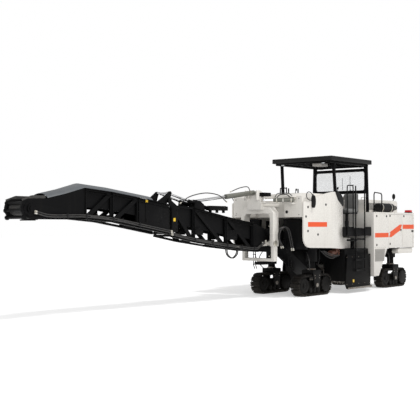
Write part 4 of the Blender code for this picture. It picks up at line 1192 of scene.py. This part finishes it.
kit.add(strip((4.735, 3.08), (4.735, 3.46), 0.08, 0.012, 0.010))
kit.add(strip((4.735, 3.50), (4.735, 3.07), 0.36, 0.016, 0.008))
kit.add(rod(0.022, 0.05, 0.004), toward((0.36, 4.727, 3.06), (0, 1, 0)))
kit.done("window_wiper", moulded, "machine")
print("canopy made")

# %% [markdown]
# ## Mirrors, intake and tank
# The mirrors hang on bent arms beside the front body. The air cleaner is a long
# ribbed can on saddles, banded by two clamps, with an elbow into the hood.

# %% Mirrors, air cleaner and tank fittings
for sign, side in (("left", 1), ("right", -1)):
    oval = [(0.075 * cos(radians(a)), 0.195 * sin(radians(a))) for a in range(0, 360, 15)]
    oval = [(x, max(-0.17, min(0.17, z))) for x, z in oval]
    kit = Kit()
    kit.add(plate(oval, 0.045, 0.014), SIDE[side] @ toward((1.300, 1.315, 2.62), (0, 1, 0), 180))
    arm = [(1.252, 1.36, 2.80), (1.275, 1.25, 2.86), (1.29, 1.10, 2.87), (1.295, 1.02, 2.80), (1.29, 1.06, 2.70),
           (1.27, 1.20, 2.66), (1.252, 1.30, 2.66)]
    kit.add(tube(arm, 0.011), SIDE[side])
    kit.add(rod(0.022, 0.03, 0.004), SIDE[side] @ toward((1.25, 1.36, 2.80), (1, 0, 0)))
    kit.add(rod(0.022, 0.03, 0.004), SIDE[side] @ toward((1.25, 1.32, 2.66), (1, 0, 0)))
    shell = kit.done("mirror_shell_" + sign, moulded, "machine")
    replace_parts(shell, "mirror_" + sign)
    glass = [(x * 0.88, z * 0.94) for x, z in oval]
    made("mirror_glass_" + sign, plate(glass, 0.003, 0.001), mirror_glass, "machine",
         SIDE[side] @ toward((1.300, 1.3605, 2.62), (0, 1, 0), 180))
profile = [(0, 0), (0.10, 0), (0.132, 0.012)]
for i in range(13):
    y = 0.05 + i * 0.062
    profile += [(0.132, y), (0.138, y + 0.010), (0.138, y + 0.026), (0.132, y + 0.036)]
profile += [(0.132, 0.885), (0.118, 0.905), (0, 0.91)]
can = Kit().add(turned(profile, 40), toward((0.95, 5.36, 2.535), (0, 1, 0)))
can.add(tube([(0.95, 6.25, 2.535), (0.95, 6.40, 2.535), (0.93, 6.52, 2.535), (0.85, 6.60, 2.535), (0.77, 6.62, 2.535)],
             0.075, resolution=4))
intake = can.done("air_cleaner_can", moulded, "machine")
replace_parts(intake, "air_cleaner")
kit = Kit()
for y in (5.52, 6.08):
    kit.add(turned([(0.139, -0.02), (0.143, -0.02), (0.143, 0.02), (0.139, 0.02)], 40),
            toward((0.95, y, 2.535), (0, 1, 0)))
    kit.add(block((0.85, y - 0.03, 2.381), (1.05, y + 0.03, 2.425), 0.006))
for y in (6.30, 6.36):
    kit.add(turned([(0.077, -0.012), (0.082, -0.012), (0.082, 0.012), (0.077, 0.012)], 30),
            toward((0.95, y, 2.535), (0, 1, 0)))
kit.done("air_cleaner_clamps", zinc, "machine")
kit = Kit()
kit.add(turned([(0, 0), (0.05, 0), (0.05, 0.012), (0.042, 0.030), (0, 0.034)], 20), (1.10, 6.42, 1.249))
kit.add(block((1.02, 7.176, 1.10), (1.20, 7.184, 1.23), 0.003))
kit.done("tank_cap", moulded, "machine")
kit = Kit()
kit.add(plate([(0.055 * cos(radians(a)), 0.095 * sin(radians(a))) for a in range(0, 360, 20)], 0.03, 0.008),
        toward((0.70, 6.86, 2.92), (0, 1, 0)))
kit.add(tube([(0.70, 6.86, 2.85), (0.70, 6.86, 2.80), (0.66, 6.84, 2.775)], 0.010))
kit.done("hood_mirror", moulded, "hood")
print("mirrors, intake and tank made")

# %% [markdown]
# ## Deck edges, ladders and rails
# Treads, hand holds and folded kick plates finish the boarding side.

# %% Treads, kick plates and hand holds
for sign, side in (("left", 1), ("right", -1)):
    kit = Kit()
    for z in (0.68, 0.98, 1.28, 1.58):
        kit.add(block((1.178, 3.66, z), (1.235, 4.16, z + 0.012), 0.003), SIDE[side])
        for y in [3.70 + 0.06 * i for i in range(8)]:
            kit.add(rod(0.010, 0.006, 0.001, 8), SIDE[side] @ Matrix.Translation((1.20, y, z + 0.011)))
    kit.add(block((1.168, 2.99, 1.665), (1.180, 3.62, 1.93), 0.003), SIDE[side])
    kit.add(block((1.168, 4.20, 1.665), (1.180, 4.60, 1.93), 0.003), SIDE[side])
    kit.done("ladder_treads_" + sign, black, "machine")
    kit = Kit()
    kit.add(tube([(1.20, 3.21, 1.67), (1.20, 3.21, 2.60), (1.20, 3.21, 3.06), (1.20, 3.25, 3.13), (1.20, 3.33, 3.14),
                  (1.20, 3.46, 3.14), (1.20, 3.52, 3.12), (1.20, 3.53, 3.05), (1.20, 3.53, 1.90)], 0.017), SIDE[side])
    kit.add(tube([(1.17, 3.25, 1.55), (1.19, 3.40, 1.54), (1.19, 3.62, 1.54), (1.17, 3.79, 1.55)], 0.028), SIDE[side])
    kit.done("boarding_rail_" + sign, black, "machine")
    kit = Kit()
    kit.add(block((1.10, 4.66, 0.43), (1.215, 4.99, 0.69), 0.012), SIDE[side])
    kit.add(block((1.05, 4.72, 0.68), (1.12, 4.93, 0.92), 0.010), SIDE[side])
    kit.done("step_bracket_" + sign, black, "machine")
    made("side_plate_mark_" + sign, on_side([(3.58, 0.31), (3.66, 0.31), (3.66, 0.39), (3.58, 0.39)], 1.1505, 0.001),
         yellow, "side_plate_" + sign, SIDE[side])
    kit = Kit()
    for y in (3.25, 3.55, 3.90, 4.25, 4.54):
        for z in (0.26, 1.05):
            kit.add(bolt(0.010), SIDE[side] @ at_side(y, z, 1.1502))
    kit.add(on_side([(3.20, 0.125), (4.59, 0.125), (4.56, 0.175), (3.23, 0.175)], 1.2002, 0.018, 0.004), SIDE[side])
    kit.done("side_plate_skid_" + sign, tool_iron, "side_plate_" + sign)
plate_places = [(x, y) for x in [-0.40 + 0.16 * i for i in range(6)] for y in [3.15 + 0.13 * j for j in range(11)]]
kit = Kit()
kit.add(block((-0.005, -0.018, 0), (0.005, 0.018, 0.003), 0.001),
        *[Matrix.Translation((x, y, 1.9003)) @ Matrix.Rotation(radians(45 if (i % 2) else -45), 4, "Z")
          for i, (x, y) in enumerate(plate_places)])
kit.done("deck_treads", black, "machine")
print("deck pieces made")

# %% [markdown]
# ## Hydraulics at the front
# Hoses feed the slewing cylinder and the arch, pipes run down beside the front legs,
# and a valve block hangs under the deck. Each hose leaves a fitting straight before
# it bends.

# %% Slewing cylinder, arch and front body fittings
hose("slewing_hose_a", [(0.93, 0.80, 2.72), (0.86, 0.72, 2.80), (0.70, 0.64, 2.80), (0.62, 0.62, 2.735)], 0.014,
     "slewing_barrel")
hose("slewing_hose_b", [(0.98, 0.86, 2.72), (0.90, 0.76, 2.83), (0.66, 0.60, 2.83), (0.57, 0.585, 2.735)], 0.012,
     "slewing_barrel")
kit = Kit()
for x, y in ((0.61, 0.61), (0.76, 0.70), (0.95, 0.81)):
    kit.add(turned([(0.062, -0.016), (0.068, -0.016), (0.068, 0.016), (0.062, 0.016)], 28),
            toward((x, y, 2.66), (0.65, 0.38, 0)))
kit.done("slewing_cylinder_bands", zinc, "slewing_barrel")
kit = Kit()
kit.add(block((-0.34, 0.40, 2.70), (-0.24, 0.62, 2.86), 0.010))
kit.add(block((0.20, 0.36, 2.76), (0.40, 0.64, 2.86), 0.014))
kit.add(block((-0.10, 0.62, 2.72), (0.10, 0.70, 2.88), 0.010))
kit.done("arch_head_boxes", black, "arch")
kit = Kit()
for side in (1, -1):
    for z in (1.15, 1.55, 1.95, 2.30):
        kit.add(bolt(0.013), SIDE[side] @ toward((0.5605, 0.33, z), (1, 0, 0)))
    kit.add(turned([(0, 0), (0.085, 0), (0.085, 0.02), (0.06, 0.028), (0, 0.028)], 24),
            SIDE[side] @ toward((0.5605, 0.60, 1.48), (1, 0, 0)))
kit.done("arch_bolts", zinc, "arch")
kit = Kit()
for side in (1, -1):
    kit.add(turned([(0, 0), (0.042, 0), (0.042, 0.010), (0.030, 0.014), (0.028, 0.004), (0, 0.004)], 24),
            SIDE[side] @ toward((0.70, 0.944, 2.34), (0, -1, 0)))
    for x, z in ((1.10, 2.26), (1.10, 2.70), (0.78, 2.70)):
        kit.add(bolt(0.010), SIDE[side] @ toward((x, 0.944, z), (0, -1, 0)))
kit.done("front_body_ports", moulded, "machine")
for i, (x, reach) in enumerate(((0.60, 0.30), (0.66, 0.34))):
    hose(f"arch_loop_hose_{i}", [(x, 0.80, 1.42), (x + 0.03, 0.66 - 0.04 * i, 1.62), (x + 0.05, 0.66, 1.84),
                                 (x + 0.08, 0.80, 1.93), (x + 0.12, 0.94, 1.86), (x + 0.14, 1.02, 1.62),
                                 (x + 0.14, 1.10, 1.36)], 0.016, "machine")
print("front fittings made")

# %% [markdown]
# The front legs are flanked by rigid pipes in clamps, and the drum drive's hydraulics
# show as a red-brown block over the housing.

# %% Pipes and blocks under the body
kit = Kit()
for side in (1, -1):
    for x in (0.585, 0.66):
        kit.add(tube([(x, 1.19, 1.28), (x, 1.19, 1.10), (x, 1.20, 0.86), (x + 0.02, 1.28, 0.74)], 0.012), SIDE[side])
    for z in (0.86, 1.00, 1.14):
        kit.add(block((0.57, 1.175, z), (0.675, 1.21, z + 0.022), 0.004), SIDE[side])
    kit.add(tube([(1.13, 1.87, 1.92), (1.13, 1.87, 1.32), (1.12, 1.88, 1.05), (1.05, 1.92, 0.88)], 0.014), SIDE[side])
kit.done("front_pipes", black, "machine")
kit = Kit()
for side in (1, -1):
    kit.add(block((0.72, 3.06, 1.285), (0.98, 3.26, 1.40), 0.012), SIDE[side])
    kit.add(block((0.80, 3.00, 1.10), (0.95, 3.16, 1.285), 0.012), SIDE[side])
    kit.add(turned([(0, 0), (0.075, 0), (0.082, 0.02), (0.082, 0.20), (0.070, 0.22), (0, 0.22)], 24),
            SIDE[side] @ toward((0.86, 3.03, 1.18), (0, -1, 0)))
    for z in (1.12, 1.18, 1.24):
        kit.add(rod(0.018, 0.05, 0.004, 12), SIDE[side] @ toward((0.955, 3.09, z), (1, 0, 0)))
kit.done("drive_pumps", primer, "machine")
for side, sign in ((1, "left"), (-1, "right")):
    for i in range(3):
        hose(f"under_hose_{sign}_{i}", [(side * (1.0 - 0.05 * i), 3.09, 1.12 + 0.06 * i),
                                        (side * (1.05 - 0.05 * i), 2.90, 1.10 - 0.03 * i),
                                        (side * (1.02 - 0.05 * i), 2.60, 1.16 - 0.04 * i),
                                        (side * (0.98 - 0.05 * i), 2.30, 1.26)], 0.015, "machine", ends=False)
    for end, body in ((1.78, "front"), (6.08, "rear")):
        x = 0.90 if body == "front" else 1.00
        hose(f"leg_hose_{body}_{sign}", [(side * (x - 0.12), end, 1.22), (side * (x - 0.03), end - 0.04, 1.05),
                                         (side * (x - 0.02), end - 0.02, 0.86), (side * (x - 0.10), end + 0.10, 0.70)],
             0.013, f"{body}_{sign}_track", ends=False)
print("pipes and hoses made")

# %% [markdown]
# ## The rear face
# The radiator breathes through a screen of thin louvres. Below it stand two tow eyes on
# their blocks, and above it a blank plate.

# %% Louvres, tow eyes, plate and bolts
kit = Kit()
for i in range(27):
    z = 1.395 + i * 0.0325
    slat = block((-0.84, 7.294, z), (0.84, 7.310, z + 0.012), 0.003)
    kit.add(slat)
for x in (-0.86, -0.43, 0.0, 0.43, 0.86):
    kit.add(block((x - 0.014, 7.292, 1.37), (x + 0.014, 7.318, 2.27), 0.003))
kit.add(block((-0.88, 7.29, 1.36), (0.88, 7.318, 1.385), 0.003))
kit.add(block((-0.88, 7.29, 2.25), (0.88, 7.318, 2.275), 0.003))
kit.done("radiator_louvres", black, "machine")
kit = Kit()
for side in (1, -1):
    kit.add(turned([(0.035, -0.018), (0.062, -0.018), (0.070, 0), (0.062, 0.018), (0.035, 0.018), (0.035, -0.018)], 24),
            SIDE[side] @ toward((0.62, 7.25, 1.30), (1, 0, 0)))
    kit.add(block((0.58, 7.10, 1.26), (0.66, 7.20, 1.36), 0.006), SIDE[side])
kit.done("tow_eyes", tool_iron, "machine")
kit = Kit().add(block((-0.26, 7.296, 2.30), (0.26, 7.302, 2.37), 0.002))
kit.done("rear_blank_plate", white, "machine")
kit = Kit()
for side in (1, -1):
    for z in (2.30, 1.30):
        for x in (0.96, 1.16):
            kit.add(bolt(0.011), SIDE[side] @ toward((x, 7.2155, z), (0, 1, 0)))
kit.done("rear_face_bolts", zinc, "machine")

# %% [markdown]
# The hood has pressed vents on its sides and a row of louvres on top, two lift handles
# and an exhaust outlet.

# %% Hood vents, handles and exhaust outlet
kit = Kit()
for side in (1, -1):
    for i in range(9):
        y = 5.15 + i * 0.075
        kit.add(block((0.776, y, 2.46), (0.790, y + 0.030, 2.68), 0.005), SIDE[side])
for i in range(12):
    y = 6.00 + i * 0.060
    kit.add(block((-0.42, y, 2.776), (0.42, y + 0.026, 2.790), 0.005))
kit.done("hood_vents", moulded, "hood")
kit = Kit()
for side in (1, -1):
    kit.add(tube([(0.60, 5.00, 2.775), (0.60, 5.00, 2.83), (0.60, 5.06, 2.85), (0.60, 5.22, 2.85), (0.60, 5.28, 2.83),
                  (0.60, 5.28, 2.775)], 0.010), SIDE[side])
kit.done("hood_handles", zinc, "hood")
kit = Kit()
kit.add(tube([(-0.35, 5.55, 2.76), (-0.35, 5.55, 2.86), (-0.35, 5.60, 2.93), (-0.35, 5.72, 2.96)], 0.055,
             resolution=4))
kit.done("exhaust_outlet", tool_iron, "hood")
print("rear and hood pieces made; pieces so far:", len(MADE))
# %% [markdown]
# ## Anything left plain
# A solid that no piece replaced keeps its own mesh and only takes a finish, so that no
# bare surface shows.

# %% Finishes on the remaining solids
FALLBACK = {"white_paint": white, "black_paint": black, "track_steel": track_iron, "chrome_rod": chrome,
            "belt_rubber": belt_rubber, "seat_vinyl": vinyl, "grey_cover": grey, "window_glass": window,
            "roof_shell": roof_shell, "desk_moulding": moulded}
SLOT_OF = {row["node"]: row["material_slot"] for row in frame["record"]["subparts"]}
for name, node in frame["nodes"].items():
    node.data.materials.clear()
    node.data.materials.append(FALLBACK[SLOT_OF[name]].material)

# %% [markdown]
# ## Studio
# A wide pale floor and a white surround stand in for a studio cove. The floor
# adds white only for the camera and for reflections, so it keeps the machine's shadow
# while the lamps stay at a level where colours render as they are written.

# %% Floor and backdrop
def studio_floor():
    work = bmesh.new()
    bmesh.ops.create_grid(work, x_segments=1, y_segments=1, size=90)
    mesh = bpy.data.meshes.new("studio_floor")
    work.to_mesh(mesh)
    work.free()
    floor = bpy.data.objects.new("studio_floor", mesh)
    bpy.context.collection.objects.link(floor)
    material = bpy.data.materials.new("floor_white")
    material.use_nodes = True
    tree = material.node_tree
    tree.nodes.clear()
    path = tree.nodes.new("ShaderNodeLightPath")
    seen = tree.nodes.new("ShaderNodeMath")
    seen.operation = "MAXIMUM"
    seen.use_clamp = True
    tree.links.new(path.outputs["Is Camera Ray"], seen.inputs[0])
    tree.links.new(path.outputs["Is Glossy Ray"], seen.inputs[1])
    matt = tree.nodes.new("ShaderNodeBsdfDiffuse")
    matt.inputs["Color"].default_value = (0.78, 0.78, 0.78, 1)
    glow = tree.nodes.new("ShaderNodeEmission")
    glow.inputs["Color"].default_value = (1, 1, 1, 1)
    strength = tree.nodes.new("ShaderNodeMath")
    strength.operation = "MULTIPLY"
    strength.inputs[1].default_value = 0.42
    tree.links.new(seen.outputs[0], strength.inputs[0])
    tree.links.new(strength.outputs[0], glow.inputs["Strength"])
    both = tree.nodes.new("ShaderNodeAddShader")
    tree.links.new(matt.outputs[0], both.inputs[0])
    tree.links.new(glow.outputs[0], both.inputs[1])
    out = tree.nodes.new("ShaderNodeOutputMaterial")
    tree.links.new(both.outputs[0], out.inputs["Surface"])
    mesh.materials.append(material)


studio_floor()

# %% Surround
world = bpy.data.worlds.new("surround")
bpy.context.scene.world = world
world.use_nodes = True
tree = world.node_tree
tree.nodes.clear()
path = tree.nodes.new("ShaderNodeLightPath")
glossy = tree.nodes.new("ShaderNodeMath")
glossy.operation = "MAXIMUM"
glossy.use_clamp = True
tree.links.new(path.outputs["Is Camera Ray"], glossy.inputs[0])
tree.links.new(path.outputs["Is Transmission Ray"], glossy.inputs[1])
level = tree.nodes.new("ShaderNodeMix")
level.inputs[2].default_value = 0.55
level.inputs[3].default_value = 1.0
tree.links.new(glossy.outputs[0], level.inputs[0])
sky = tree.nodes.new("ShaderNodeBackground")
sky.inputs["Color"].default_value = (1, 1, 1, 1)
tree.links.new(level.outputs[0], sky.inputs["Strength"])
out = tree.nodes.new("ShaderNodeOutputWorld")
tree.links.new(sky.outputs[0], out.inputs["Surface"])

# %% [markdown]
# ## Lamps
# One broad, soft key lamp high on the machine's left, a little behind its middle, throws
# the shadow toward its right side; a sheet of light on the near side fills the body panels.

# %% Lamps
def lamp(name, kind, energy, place, aim, size):
    data = bpy.data.lights.new(name, kind)
    data.energy = energy
    if kind == "AREA":
        data.shape = "DISK"
        data.size = size
    else:
        data.angle = size
    thing = bpy.data.objects.new(name, data)
    bpy.context.collection.objects.link(thing)
    thing.location = place
    thing.rotation_euler = (Vector(aim) - Vector(place)).to_track_quat("-Z", "Y").to_euler()


lamp("key", "SUN", 1.55, (9, 1.5, 17), (0, 0, 1), radians(9))
lamp("fill", "AREA", 900, (14, -13, 9), (0, 1, 1.5), 9)

# %% [markdown]
# ## Camera
# The camera stands low and well ahead of the machine on its left, so the conveyor runs
# toward the viewer and the body is seen in three-quarter view.

# %% Camera
camera = bpy.data.objects.new("camera", bpy.data.cameras.new("camera"))
bpy.context.collection.objects.link(camera)
camera.location = (13.158, -16.117, 1.973)
camera.rotation_euler = (radians(90 + 1.144), 0, radians(41.807))
camera.data.lens = 66.34
camera.data.sensor_width = 36
camera.data.clip_end = 400
bpy.context.scene.camera = camera
bpy.context.scene.view_settings.view_transform = "Standard"

# %% The end
bpy.context.view_layer.update()
